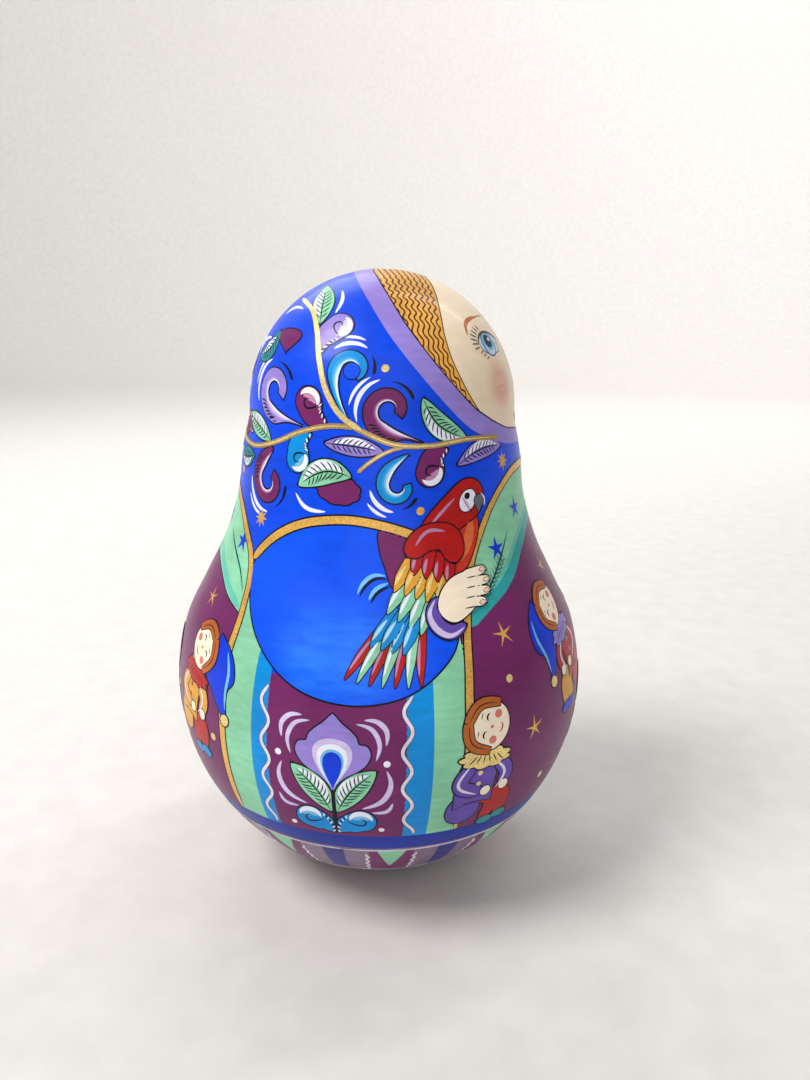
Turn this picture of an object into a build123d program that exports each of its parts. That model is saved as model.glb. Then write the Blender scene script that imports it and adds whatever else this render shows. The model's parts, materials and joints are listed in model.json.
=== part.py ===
"""Turned wooden roly-poly doll with a weighted base and a chime inside.

Millimetres, +Z up along the turning axis.  The origin is the spot that the
doll rests on.  Its face looks along -Y and its right side is -X.
"""
import os
from math import sqrt

from build123d import *

os.makedirs("parts", exist_ok=True)

# Outer form
TOTAL_HEIGHT = 150.0
BELLY_RADIUS = 51.0
REST_RADIUS = 3.0  # small flat that the doll stands on
BELLY_CENTRE = sqrt(BELLY_RADIUS**2 - REST_RADIUS**2)
HEAD_RADIUS = 32.0
HEAD_CENTRE = TOTAL_HEIGHT - HEAD_RADIUS
SHOULDER_START = 66.0  # height where the belly sphere ends
SHOULDER = [(43.7, 76.5), (38.5, 87.0), (35.2, 97.5), (33.8, 108.0)]  # radius, height

# Walls and the seam between body and base
BELLY_WALL = 5.0
SHOULDER_WALL = 6.0
HEAD_WALL = 6.0
SEAM_HEIGHT = 24.0
SPIGOT_RADIUS = 38.0
SPIGOT_TOP = 31.0
SPIGOT_FIT = 0.05  # radial gap between spigot and bore
SPIGOT_WALL = 3.5
DISH_RADIUS = 43.0  # dished seat under the ballast, concentric with the belly

# Ballast and its screws
BALLAST_RADIUS = 29.0
BALLAST_TOP = 24.0
SEAT_GAP = 0.05
BALLAST_SCREW_COUNT = 3
BALLAST_SCREW_CIRCLE = 12.0
BALLAST_SCREW_RADIUS = 1.5
BALLAST_SCREW_CLEARANCE = 0.25
BALLAST_SCREW_HEAD = 3.1
BALLAST_SCREW_HEAD_HEIGHT = 2.4
BALLAST_SCREW_SEAT = 20.8  # underside of the screw heads
BALLAST_SCREW_TIP = 4.5
TIP_LENGTH = 2.0

# Chime: a brass head plate, its bolt and a ring of steel rods
CHIME_RADIUS = 18.5
CHIME_THICKNESS = 5.0
CHIME_TOP = BALLAST_TOP + CHIME_THICKNESS
BOLT_RADIUS = 2.0
BOLT_HEAD_FLATS = 7.0
BOLT_HEAD_HEIGHT = 2.8
BOLT_TIP = 14.0
ROD_COUNT = 6
ROD_CIRCLE = 16.0
ROD_RADIUS = 1.5
ROD_SOCKET_DEPTH = 4.0
ROD_START_ANGLE = 30.0
SHORTEST_ROD_TOP = 58.0
ROD_TOP_STEP = 2.4

# Bridge that carries the clapper
STRAP = 1.2
STRAP_WIDTH = 8.0
LEG_INNER = 19.0
FOOT_END = 26.5
BRIDGE_TOP = 78.0
BRIDGE_SCREW_X = 23.6
BRIDGE_SCREW_RADIUS = 1.1
BRIDGE_SCREW_HEAD = 1.9
BRIDGE_SCREW_HEAD_HEIGHT = 1.3
BRIDGE_SCREW_TIP = 17.5
LUG_INNER = 3.4
LUG_WIDTH = 5.0
LUG_BOTTOM = 71.0
PIN_HEIGHT = 73.0
PIN_RADIUS = 0.6
PIN_HEAD = 1.1
PIN_HEAD_LENGTH = 0.6

# Suspension ring and clapper
WIRE_RADIUS = 0.6
RING_RADIUS = 2.6  # to the wire's centre line, in the ring and in the eye
LINK_GAP = 0.08
RING_CENTRE = PIN_HEIGHT + PIN_RADIUS + LINK_GAP - (RING_RADIUS - WIRE_RADIUS)
RING_BOTTOM = RING_CENTRE - RING_RADIUS  # axis that the clapper swings about
EYE_TOP = RING_BOTTOM + 2 * WIRE_RADIUS + LINK_GAP
EYE_CENTRE = EYE_TOP - RING_RADIUS
STEM_RADIUS = 1.0
STEM_BOTTOM = 35.4
BOB_RADIUS = 7.0
BOB_CENTRE = 44.5
BOB_FLAT_RADIUS = 2.2
COLLAR_RADIUS = 1.8
COLLAR_HEIGHT = 0.8
NUT_FLATS = 4.0
NUT_HEIGHT = 1.6

SMALL_EDGE = 0.3
SLOT_WIDTH = 0.7
SLOT_DEPTH = 0.8
FULL_TURN = 360.0


def sphere_point(radius, height):
    """Radius and height of a point on a sphere about the belly's centre."""
    return (sqrt(radius**2 - (height - BELLY_CENTRE) ** 2), height)


def sphere_height(radius, reach):
    """Height of the sphere's underside at a given distance from the axis."""
    return BELLY_CENTRE - sqrt(radius**2 - reach**2)


def belly_arc(radius, low, high):
    """Arc of a sphere about the belly's centre, from its low to its high height."""
    return ThreePointArc(sphere_point(radius, low), (radius, BELLY_CENTRE), sphere_point(radius, high))


def head_arc(radius):
    """Quarter circle from the side of the head to its crown."""
    middle = radius * sqrt(0.5)
    return ThreePointArc((radius, HEAD_CENTRE), (middle, HEAD_CENTRE + middle), (0, HEAD_CENTRE + radius))


def shoulder_curve(radius, head_radius, inset):
    """Smooth run from the belly sphere up to the head, inset from the outer form."""
    start = sphere_point(radius, SHOULDER_START)
    points = [start] + [(r - inset, z) for r, z in SHOULDER] + [(head_radius, HEAD_CENTRE)]
    rise = (-(SHOULDER_START - BELLY_CENTRE), start[0])
    return Spline(*points, tangents=[rise, (0, 1)])


# Body: belly, shoulders and head turned from one block, open at the bottom
INNER_BELLY = BELLY_RADIUS - BELLY_WALL
INNER_HEAD = HEAD_RADIUS - HEAD_WALL
BORE_RADIUS = SPIGOT_RADIUS + SPIGOT_FIT
with BuildPart() as body_shell:
    with BuildSketch(Plane.XZ):
        with BuildLine():
            Line((BORE_RADIUS, SEAM_HEIGHT), sphere_point(BELLY_RADIUS, SEAM_HEIGHT))
            belly_arc(BELLY_RADIUS, SEAM_HEIGHT, SHOULDER_START)
            shoulder_curve(BELLY_RADIUS, HEAD_RADIUS, 0.0)
            head_arc(HEAD_RADIUS)
            Line((0, TOTAL_HEIGHT), (0, HEAD_CENTRE + INNER_HEAD))
            head_arc(INNER_HEAD)
            shoulder_curve(INNER_BELLY, INNER_HEAD, SHOULDER_WALL)
            belly_arc(INNER_BELLY, SPIGOT_TOP, SHOULDER_START)
            Polyline(
                sphere_point(INNER_BELLY, SPIGOT_TOP),
                (BORE_RADIUS, SPIGOT_TOP),
                (BORE_RADIUS, SEAM_HEIGHT),
            )
        make_face()
    revolve(axis=Axis.Z, revolution_arc=FULL_TURN)
body_shell.part.label = "body_shell"
export_step(body_shell.part, "parts/body_shell.step")

# Base cap: the round underside, with a spigot up into the body and a dished seat
DISH_EDGE = SPIGOT_RADIUS - SPIGOT_WALL
DISH_EDGE_HEIGHT = sphere_height(DISH_RADIUS, DISH_EDGE)
DISH_LOW = BELLY_CENTRE - DISH_RADIUS
with BuildPart() as base_cap:
    with BuildSketch(Plane.XZ):
        with BuildLine():
            Line((0, 0), (REST_RADIUS, 0))
            RadiusArc((REST_RADIUS, 0), sphere_point(BELLY_RADIUS, SEAM_HEIGHT), -BELLY_RADIUS)
            Polyline(
                sphere_point(BELLY_RADIUS, SEAM_HEIGHT),
                (SPIGOT_RADIUS, SEAM_HEIGHT),
                (SPIGOT_RADIUS, SPIGOT_TOP - SMALL_EDGE),
                (SPIGOT_RADIUS - SMALL_EDGE, SPIGOT_TOP),
                (DISH_EDGE, SPIGOT_TOP),
                (DISH_EDGE, DISH_EDGE_HEIGHT),
            )
            RadiusArc((DISH_EDGE, DISH_EDGE_HEIGHT), (0, DISH_LOW), DISH_RADIUS)
            Line((0, DISH_LOW), (0, 0))
        make_face()
    revolve(axis=Axis.Z, revolution_arc=FULL_TURN)
    with BuildSketch(Plane.XY.offset(BALLAST_SCREW_TIP)):
        with PolarLocations(BALLAST_SCREW_CIRCLE, BALLAST_SCREW_COUNT):
            Circle(BALLAST_SCREW_RADIUS)
    extrude(amount=SPIGOT_TOP, mode=Mode.SUBTRACT)
base_cap.part.label = "base_cap"
export_step(base_cap.part, "parts/base_cap.step")

# Ballast: a cast weight that fills the dished seat
BALLAST_SPHERE = DISH_RADIUS - SEAT_GAP
BALLAST_SIDE_LOW = sphere_height(BALLAST_SPHERE, BALLAST_RADIUS)
BALLAST_LOW = BELLY_CENTRE - BALLAST_SPHERE
with BuildPart() as ballast_weight:
    with BuildSketch(Plane.XZ):
        with BuildLine():
            RadiusArc((0, BALLAST_LOW), (BALLAST_RADIUS, BALLAST_SIDE_LOW), -BALLAST_SPHERE)
            Polyline(
                (BALLAST_RADIUS, BALLAST_SIDE_LOW),
                (BALLAST_RADIUS, BALLAST_TOP - SMALL_EDGE),
                (BALLAST_RADIUS - SMALL_EDGE, BALLAST_TOP),
                (0, BALLAST_TOP),
                (0, BALLAST_LOW),
            )
        make_face()
    revolve(axis=Axis.Z, revolution_arc=FULL_TURN)
    with Locations(Plane.XY.offset(BALLAST_TOP)):
        with PolarLocations(BALLAST_SCREW_CIRCLE, BALLAST_SCREW_COUNT):
            CounterBoreHole(
                radius=BALLAST_SCREW_RADIUS + BALLAST_SCREW_CLEARANCE,
                counter_bore_radius=BALLAST_SCREW_HEAD + BALLAST_SCREW_CLEARANCE,
                counter_bore_depth=BALLAST_TOP - BALLAST_SCREW_SEAT,
            )
        Hole(radius=BOLT_RADIUS, depth=BALLAST_TOP - BOLT_TIP)
        with Locations((-BRIDGE_SCREW_X, 0), (BRIDGE_SCREW_X, 0)):
            Hole(radius=BRIDGE_SCREW_RADIUS, depth=BALLAST_TOP - BRIDGE_SCREW_TIP)
ballast_weight.part.label = "ballast_weight"
export_step(ballast_weight.part, "parts/ballast_weight.step")

# Three wood screws that hold the ballast, their heads below its top face
with BuildPart() as ballast_screws:
    with BuildSketch(Plane.XY.offset(BALLAST_SCREW_SEAT)):
        with PolarLocations(BALLAST_SCREW_CIRCLE, BALLAST_SCREW_COUNT):
            Circle(BALLAST_SCREW_HEAD)
    extrude(amount=BALLAST_SCREW_HEAD_HEIGHT)
    chamfer(ballast_screws.edges().group_by(Axis.Z)[-1], length=SMALL_EDGE)
    with BuildSketch(Plane.XY.offset(BALLAST_SCREW_TIP + TIP_LENGTH)):
        with PolarLocations(BALLAST_SCREW_CIRCLE, BALLAST_SCREW_COUNT):
            Circle(BALLAST_SCREW_RADIUS)
    extrude(amount=BALLAST_SCREW_SEAT - BALLAST_SCREW_TIP - TIP_LENGTH)
    with Locations(Plane.XY.offset(BALLAST_SCREW_TIP)):
        with PolarLocations(BALLAST_SCREW_CIRCLE, BALLAST_SCREW_COUNT):
            Cone(
                bottom_radius=SMALL_EDGE,
                top_radius=BALLAST_SCREW_RADIUS,
                height=TIP_LENGTH,
                align=(Align.CENTER, Align.CENTER, Align.MIN),
            )
    with BuildSketch(Plane.XY.offset(BALLAST_SCREW_SEAT + BALLAST_SCREW_HEAD_HEIGHT)):
        with PolarLocations(BALLAST_SCREW_CIRCLE, BALLAST_SCREW_COUNT):
            Rectangle(2 * BALLAST_SCREW_HEAD, SLOT_WIDTH)
            Rectangle(SLOT_WIDTH, 2 * BALLAST_SCREW_HEAD)
    extrude(amount=-SLOT_DEPTH, mode=Mode.SUBTRACT)
ballast_screws.part.label = "ballast_screws"
export_step(ballast_screws.part, "parts/ballast_screws.step")

# Chime head: the plate that the rods are pressed into
with BuildPart() as chime_head:
    with BuildSketch(Plane.XY.offset(BALLAST_TOP)):
        Circle(CHIME_RADIUS)
        Circle(BOLT_RADIUS, mode=Mode.SUBTRACT)
    extrude(amount=CHIME_THICKNESS)
    outer_rim = chime_head.edges().group_by(Axis.Z)[-1].sort_by(SortBy.RADIUS)[-1]
    fillet(outer_rim, radius=2 * SMALL_EDGE)
    with Locations(Plane.XY.offset(CHIME_TOP)):
        with PolarLocations(ROD_CIRCLE, ROD_COUNT, start_angle=ROD_START_ANGLE):
            Hole(radius=ROD_RADIUS, depth=ROD_SOCKET_DEPTH)
chime_head.part.label = "chime_head"
export_step(chime_head.part, "parts/chime_head.step")

# Bolt through the chime head into the ballast
with BuildPart() as chime_head_bolt:
    with BuildSketch(Plane.XY.offset(BOLT_TIP)):
        Circle(BOLT_RADIUS)
    extrude(amount=CHIME_TOP - BOLT_TIP)
    with BuildSketch(Plane.XY.offset(CHIME_TOP)):
        RegularPolygon(radius=BOLT_HEAD_FLATS / 2, side_count=6, major_radius=False)
    extrude(amount=BOLT_HEAD_HEIGHT)
    chamfer(chime_head_bolt.edges().group_by(Axis.Z)[-1], length=SMALL_EDGE)
chime_head_bolt.part.label = "chime_head_bolt"
export_step(chime_head_bolt.part, "parts/chime_head_bolt.step")

# Chime rods, each longer than the last so that each has its own note
rod_places = PolarLocations(ROD_CIRCLE, ROD_COUNT, start_angle=ROD_START_ANGLE)
for number, place in enumerate(rod_places.local_locations):
    rod_name = f"chime_rod_{number + 1}"
    rod_bottom = CHIME_TOP - ROD_SOCKET_DEPTH
    rod_top = SHORTEST_ROD_TOP + number * ROD_TOP_STEP
    with BuildPart() as chime_rod:
        with BuildSketch(Plane.XY.offset(rod_bottom)):
            with Locations(place):
                Circle(ROD_RADIUS)
        extrude(amount=rod_top - rod_bottom)
        fillet(chime_rod.edges().group_by(Axis.Z)[-1], radius=2 * SMALL_EDGE)
    chime_rod.part.label = rod_name
    export_step(chime_rod.part, f"parts/{rod_name}.step")

# Bridge: a bent strap over the chime, with two lugs for the suspension pin
LEG_MIDDLE = LEG_INNER + STRAP / 2
with BuildPart() as hanger_bridge:
    with BuildSketch(Plane.XZ):
        with Locations((0, BRIDGE_TOP - STRAP / 2)):
            Rectangle(2 * (LEG_INNER + STRAP), STRAP)
        for side in (-1, 1):
            with Locations((side * LEG_MIDDLE, (BALLAST_TOP + BRIDGE_TOP) / 2)):
                Rectangle(STRAP, BRIDGE_TOP - BALLAST_TOP)
            with Locations((side * (LEG_INNER + FOOT_END) / 2, BALLAST_TOP + STRAP / 2)):
                Rectangle(FOOT_END - LEG_INNER, STRAP)
    extrude(amount=STRAP_WIDTH / 2, both=True)
    with BuildSketch(Plane.YZ.offset(LUG_INNER)):
        with Locations((0, (LUG_BOTTOM + BRIDGE_TOP) / 2)):
            Rectangle(LUG_WIDTH, BRIDGE_TOP - LUG_BOTTOM)
    extrude(amount=STRAP)
    mirror(about=Plane.YZ)
    bridge_corners = hanger_bridge.edges().filter_by(Axis.Y).group_by(Axis.Z)[-1]
    fillet(bridge_corners, radius=STRAP)
    with BuildSketch(Plane.YZ):
        with Locations((0, PIN_HEIGHT)):
            Circle(PIN_RADIUS)
    extrude(amount=LUG_INNER + 2 * STRAP, both=True, mode=Mode.SUBTRACT)
    with BuildSketch(Plane.XY.offset(BALLAST_TOP)):
        with Locations((-BRIDGE_SCREW_X, 0), (BRIDGE_SCREW_X, 0)):
            Circle(BRIDGE_SCREW_RADIUS)
    extrude(amount=STRAP, mode=Mode.SUBTRACT)
hanger_bridge.part.label = "hanger_bridge"
export_step(hanger_bridge.part, "parts/hanger_bridge.step")

# Two screws that hold the bridge's feet to the ballast
FOOT_TOP = BALLAST_TOP + STRAP
with BuildPart() as bridge_screws:
    with BuildSketch(Plane.XY.offset(BRIDGE_SCREW_TIP)):
        with Locations((-BRIDGE_SCREW_X, 0), (BRIDGE_SCREW_X, 0)):
            Circle(BRIDGE_SCREW_RADIUS)
    extrude(amount=FOOT_TOP - BRIDGE_SCREW_TIP)
    with BuildSketch(Plane.XY.offset(FOOT_TOP)):
        with Locations((-BRIDGE_SCREW_X, 0), (BRIDGE_SCREW_X, 0)):
            Circle(BRIDGE_SCREW_HEAD)
    extrude(amount=BRIDGE_SCREW_HEAD_HEIGHT)
    chamfer(bridge_screws.edges().group_by(Axis.Z)[-1], length=SMALL_EDGE)
    with BuildSketch(Plane.XY.offset(FOOT_TOP + BRIDGE_SCREW_HEAD_HEIGHT)):
        with Locations((-BRIDGE_SCREW_X, 0), (BRIDGE_SCREW_X, 0)):
            Rectangle(SLOT_WIDTH, 2 * BRIDGE_SCREW_HEAD)
    extrude(amount=-SLOT_DEPTH, mode=Mode.SUBTRACT)
bridge_screws.part.label = "bridge_screws"
export_step(bridge_screws.part, "parts/bridge_screws.step")

# Headed pin across the lugs
PIN_HALF = LUG_INNER + STRAP
with BuildPart() as suspension_pin:
    with BuildSketch(Plane.YZ):
        with Locations((0, PIN_HEIGHT)):
            Circle(PIN_RADIUS)
    extrude(amount=PIN_HALF, both=True)
    with BuildSketch(Plane.YZ.offset(PIN_HALF)):
        with Locations((0, PIN_HEIGHT)):
            Circle(PIN_HEAD)
    extrude(amount=PIN_HEAD_LENGTH)
    mirror(about=Plane.YZ)
suspension_pin.part.label = "suspension_pin"
export_step(suspension_pin.part, "parts/suspension_pin.step")

# Wire ring that hangs on the pin, in the YZ plane
with BuildPart() as suspension_ring:
    with Locations((0, 0, RING_CENTRE)):
        Torus(RING_RADIUS, WIRE_RADIUS, rotation=(0, 90, 0))
suspension_ring.part.label = "suspension_ring"
export_step(suspension_ring.part, "parts/suspension_ring.step")

# Clapper stem: an eye through the ring, in the XZ plane, and a rod with a collar
BOB_HALF = sqrt(BOB_RADIUS**2 - BOB_FLAT_RADIUS**2)
BOB_TOP = BOB_CENTRE + BOB_HALF
BOB_LOW = BOB_CENTRE - BOB_HALF
with BuildPart() as clapper_stem:
    with Locations((0, 0, EYE_CENTRE)):
        Torus(RING_RADIUS, WIRE_RADIUS, rotation=(90, 0, 0))
    with BuildSketch(Plane.XY.offset(STEM_BOTTOM)):
        Circle(STEM_RADIUS)
    extrude(amount=EYE_CENTRE - RING_RADIUS - STEM_BOTTOM)
    with BuildSketch(Plane.XY.offset(BOB_TOP)):
        Circle(COLLAR_RADIUS)
    extrude(amount=COLLAR_HEIGHT)
clapper_stem.part.label = "clapper_stem"
export_step(clapper_stem.part, "parts/clapper_stem.step")

# Clapper bob: a ball with small flats, bored for the stem
with BuildPart() as clapper_bob:
    with BuildSketch(Plane.XZ):
        with BuildLine():
            ThreePointArc((BOB_FLAT_RADIUS, BOB_LOW), (BOB_RADIUS, BOB_CENTRE), (BOB_FLAT_RADIUS, BOB_TOP))
            Polyline(
                (BOB_FLAT_RADIUS, BOB_TOP),
                (STEM_RADIUS, BOB_TOP),
                (STEM_RADIUS, BOB_LOW),
                (BOB_FLAT_RADIUS, BOB_LOW),
            )
        make_face()
    revolve(axis=Axis.Z, revolution_arc=FULL_TURN)
clapper_bob.part.label = "clapper_bob"
export_step(clapper_bob.part, "parts/clapper_bob.step")

# Nut under the bob
with BuildPart() as clapper_nut:
    with BuildSketch(Plane.XY.offset(BOB_LOW - NUT_HEIGHT)):
        RegularPolygon(radius=NUT_FLATS / 2, side_count=6, major_radius=False)
        Circle(STEM_RADIUS, mode=Mode.SUBTRACT)
    extrude(amount=NUT_HEIGHT)
clapper_nut.part.label = "clapper_nut"
export_step(clapper_nut.part, "parts/clapper_nut.step")
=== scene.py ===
"""Looks of a hand-painted, turned roly-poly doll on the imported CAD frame.

Drawing is done in millimetres on the doll's own surface.  A place on it is an
angle and an arc length: the angle is in degrees from the front (-Y) towards the
doll's right side (-X), and the arc length runs up the outer form from the
resting spot.  Paint is thin closed films, one object for each colour on the body
and one for each colour on the base.
"""
import json
import math

import bpy
import numpy as np
from mathutils import Matrix, Vector
from mathutils.geometry import delaunay_2d_cdt


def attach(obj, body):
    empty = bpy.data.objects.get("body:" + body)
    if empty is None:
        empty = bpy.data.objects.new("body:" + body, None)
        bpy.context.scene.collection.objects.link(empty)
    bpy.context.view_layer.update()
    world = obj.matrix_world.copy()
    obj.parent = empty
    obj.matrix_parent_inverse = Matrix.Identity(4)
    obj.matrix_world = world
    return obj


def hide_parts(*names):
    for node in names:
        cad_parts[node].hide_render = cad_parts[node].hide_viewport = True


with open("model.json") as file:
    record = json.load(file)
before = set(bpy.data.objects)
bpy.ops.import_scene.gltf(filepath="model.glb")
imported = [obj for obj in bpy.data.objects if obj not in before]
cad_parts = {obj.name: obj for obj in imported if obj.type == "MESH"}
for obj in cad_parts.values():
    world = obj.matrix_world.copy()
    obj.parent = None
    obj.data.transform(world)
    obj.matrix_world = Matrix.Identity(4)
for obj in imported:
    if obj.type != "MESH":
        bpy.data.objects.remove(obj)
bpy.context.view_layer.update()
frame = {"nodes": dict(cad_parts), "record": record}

MM = 0.001

# ---------------------------------------------------------------- outer form
BELLY_RADIUS = 51.0
REST_RADIUS = 3.0
BELLY_CENTRE = math.sqrt(BELLY_RADIUS**2 - REST_RADIUS**2)
HEAD_RADIUS = 32.0
HEAD_CENTRE = 118.0
SHOULDER_START = 66.0
SHOULDER = [(43.7, 76.5), (38.5, 87.0), (35.2, 97.5), (33.8, 108.0)]  # radius, height
SEAM_HEIGHT = 24.0
SPIGOT_RADIUS = 38.0
SPIGOT_TOP = 31.0
SPIGOT_FIT = 0.05
WALL = 5.0
UPPER_WALL = 6.0
SEAM_EDGE = 0.2
FULL_TURN = 360.0


def hermite(points, slopes, stations, at):
    """Cubic through points with the given slopes, at the given stations."""
    k = np.clip(np.searchsorted(stations, at, side="right") - 1, 0, len(points) - 2)
    h = (stations[k + 1] - stations[k])[:, None]
    w = (at - stations[k])[:, None] / h
    low = (2 * w**3 - 3 * w**2 + 1) * points[k] + (w**3 - 2 * w**2 + w) * h * slopes[k]
    high = (3 * w**2 - 2 * w**3) * points[k + 1] + (w**3 - w**2) * h * slopes[k + 1]
    return low + high


def even_steps(points, step):
    """The same line in equal steps of about the given length."""
    gaps = np.linalg.norm(np.diff(points, axis=0), axis=1)
    along = np.concatenate([[0.0], np.cumsum(gaps)])
    count = max(int(round(along[-1] / step)), 3)
    at = np.linspace(0.0, along[-1], count + 1)
    return np.stack([np.interp(at, along, points[:, i]) for i in (0, 1)], 1)


def curve(points, step=0.6, closed=False, start=None, end=None):
    """Smooth curve through the points, in equal steps."""
    points = np.array(points, float)
    if len(points) == 2:
        return even_steps(points, step)
    if closed:
        points = np.vstack([points[-2:], points, points[:3]])
    gaps = np.linalg.norm(np.diff(points, axis=0), axis=1)
    stations = np.concatenate([[0.0], np.cumsum(gaps)])
    secants = np.diff(points, axis=0) / gaps[:, None]
    slopes = np.empty_like(points)
    before, after = gaps[:-1, None], gaps[1:, None]
    slopes[1:-1] = (after * secants[:-1] + before * secants[1:]) / (before + after)
    slopes[0] = 1.5 * secants[0] - 0.5 * slopes[1] if start is None else start
    slopes[-1] = 1.5 * secants[-1] - 0.5 * slopes[-2] if end is None else end
    first, last = (stations[2], stations[-3]) if closed else (0.0, stations[-1])
    fine = np.linspace(first, last, 12 * len(points))
    line = even_steps(hermite(points, slopes, stations, fine), step)
    return line[:-1] if closed else line


def arc(radius, centre_height, first, last, step):
    """Profile arc about a centre on the axis; angles are in degrees from straight down."""
    count = max(int(abs(math.radians(last - first)) * radius / step), 2)
    angles = np.radians(np.linspace(first, last, count + 1))
    return np.stack([radius * np.sin(angles), centre_height - radius * np.cos(angles)], 1)


def angle_at(radius, height):
    """Angle from straight down of the belly sphere's point at this height."""
    return math.degrees(math.acos((BELLY_CENTRE - height) / radius))


def shoulder(radius, inset, head_radius, step):
    """Smooth run from the belly sphere up to the head."""
    reach = math.sqrt(radius**2 - (SHOULDER_START - BELLY_CENTRE) ** 2)
    inner = [(r - inset, z) for r, z in SHOULDER]
    points = [(reach, SHOULDER_START), *inner, (head_radius, HEAD_CENTRE)]
    rise = np.array([BELLY_CENTRE - SHOULDER_START, reach]) / radius
    return curve(points, step, start=rise, end=np.array([0.0, 1.0]))


def chain(*lines):
    """Joins profile lines, dropping the doubled points between them."""
    return np.vstack([lines[0], *[line[1:] for line in lines[1:]]])


PROFILE_STEP = 1.2
INNER_STEP = 2.0
FINE_STEP = 0.3
REST_ANGLE = angle_at(BELLY_RADIUS, 0.0)
OUTER = chain(
    np.array([(0.0, 0.0), (REST_RADIUS, 0.0)]),
    arc(BELLY_RADIUS, BELLY_CENTRE, REST_ANGLE, angle_at(BELLY_RADIUS, SHOULDER_START), FINE_STEP),
    shoulder(BELLY_RADIUS, 0.0, HEAD_RADIUS, FINE_STEP),
    arc(HEAD_RADIUS, HEAD_CENTRE, 90.0, 180.0, FINE_STEP),
)
ALONG = np.concatenate([[0.0], np.cumsum(np.linalg.norm(np.diff(OUTER, axis=0), axis=1))])
TOTAL = ALONG[-1]
OUTWARD = np.gradient(OUTER, ALONG, axis=0)[:, ::-1] * (1.0, -1.0)


def s_at(height):
    """Arc length of the outer form at a height."""
    return np.interp(height, OUTER[1:, 1], ALONG[1:])


def radius_at(s):
    """Radius of the outer form at an arc length."""
    return np.interp(s, ALONG, OUTER[:, 0])


def on_surface(angle, s, lift):
    """Points lifted off the surface, and the outward directions there."""
    turn = np.radians(angle)
    side = np.stack([-np.sin(turn), -np.cos(turn), np.zeros_like(turn)], 1)
    out_r = np.interp(s, ALONG, OUTWARD[:, 0])[:, None]
    out_z = np.interp(s, ALONG, OUTWARD[:, 1])[:, None]
    out = side * out_r + out_z * np.array([0.0, 0.0, 1.0])
    place = side * radius_at(s)[:, None]
    place[:, 2] = np.interp(s, ALONG, OUTER[:, 1])
    return place + out * lift, out


# ---------------------------------------------------------------- charts
# A chart turns flat drawing coordinates into an angle and an arc length.
WRAP = math.radians(1.0) * 48.0  # millimetres per degree in the wrapped chart


def patch(angle, height, turn=0.0, size=1.0):
    """Flat chart about one place: x towards the doll's front, y up."""
    cos, sin = size * math.cos(math.radians(turn)), size * math.sin(math.radians(turn))
    base = s_at(height)

    def chart(p):
        x = cos * p[:, 0] - sin * p[:, 1]
        s = base + sin * p[:, 0] + cos * p[:, 1]
        return angle - np.degrees(x / radius_at(s)), s

    return chart


def wrap(p):
    """Chart that wraps round the axis: angle and arc length."""
    return -p[:, 0] / WRAP, p[:, 1]


def wrapped(places):
    """Wrapped chart coordinates of (angle, height) places."""
    return [(-angle * WRAP, s_at(height)) for angle, height in places]


def crown(p):
    """Chart centred on the crown."""
    return np.degrees(np.arctan2(p[:, 0], p[:, 1])), TOTAL - np.hypot(p[:, 0], p[:, 1])


def crowned(places):
    """Crown chart coordinates of (angle, height) places."""
    out = []
    for angle, height in places:
        reach = TOTAL - s_at(height)
        out.append((reach * math.sin(math.radians(angle)), reach * math.cos(math.radians(angle))))
    return out


# ---------------------------------------------------------------- outlines
# Shares of a ribbon's width along it; t runs from 0 at its start to 1 at its end.
def even(t):
    return np.sqrt(np.clip(np.minimum(t, 1.0 - t) / 0.04, 0.0, 1.0))


def leaf_shape(t):
    return np.sin(np.pi * t) ** 0.75


def crescent(t):
    return np.sin(np.pi * t) ** 0.6


def comma(t):
    tail = (np.clip(t, 0.0, 0.78) / 0.78) ** 0.8
    cap = np.sqrt(1.0 - (np.clip(t - 0.78, 0.0, 0.22) / 0.22) ** 2)
    return tail * cap


def bean(t):
    return np.sqrt(np.clip(1.0 - (2.0 * t - 1.0) ** 4, 0.0, 1.0))


def ribbon(points, width, shape=even, a=-0.5, b=0.5, span=(0.0, 1.0), swell=False, step=0.55):
    """Outline of a band along a smooth line.

    a and b are its edges in widths to the left of the line.  A list of widths is
    spread evenly along it.  With swell, the edge b starts and ends on edge a.
    """
    line = curve(points, step)
    t = np.linspace(0.0, 1.0, len(line))
    ahead = np.gradient(line, axis=0)
    ahead /= np.linalg.norm(ahead, axis=1)[:, None]
    left = np.stack([-ahead[:, 1], ahead[:, 0]], 1)
    if isinstance(width, (list, tuple)):
        places = np.stack([np.linspace(0.0, 1.0, len(width)), np.array(width, float)], 1)
        smooth = curve(places, 0.02)
        widths = np.interp(t, smooth[:, 0], smooth[:, 1])
    else:
        widths = width * shape(t)
    keep = (t >= span[0]) & (t <= span[1])
    line, left, widths, t = line[keep], left[keep], widths[keep], t[keep]
    far = b
    if swell:
        inside = (t - t[0]) / (t[-1] - t[0])
        far = a + (b - a) * np.sin(np.pi * inside) ** 0.6
    near_edge = line + left * (widths * a)[:, None]
    far_edge = line + left * (widths * far)[:, None]
    return np.vstack([near_edge, far_edge[::-1]])


def ring(centre, radius, squash=1.0, turn=0.0, scallops=0, depth=0.0):
    """Round, oval or scalloped outline."""
    count = max(int(2.0 * math.pi * radius / 0.5), 14 if scallops == 0 else 8 * scallops)
    around = np.linspace(0.0, 2.0 * math.pi, count, endpoint=False)
    reach = radius * (1.0 + depth * np.abs(np.sin(0.5 * scallops * around)))
    x, y = reach * np.cos(around), squash * reach * np.sin(around)
    cos, sin = math.cos(math.radians(turn)), math.sin(math.radians(turn))
    return np.stack([centre[0] + cos * x - sin * y, centre[1] + sin * x + cos * y], 1)


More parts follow.
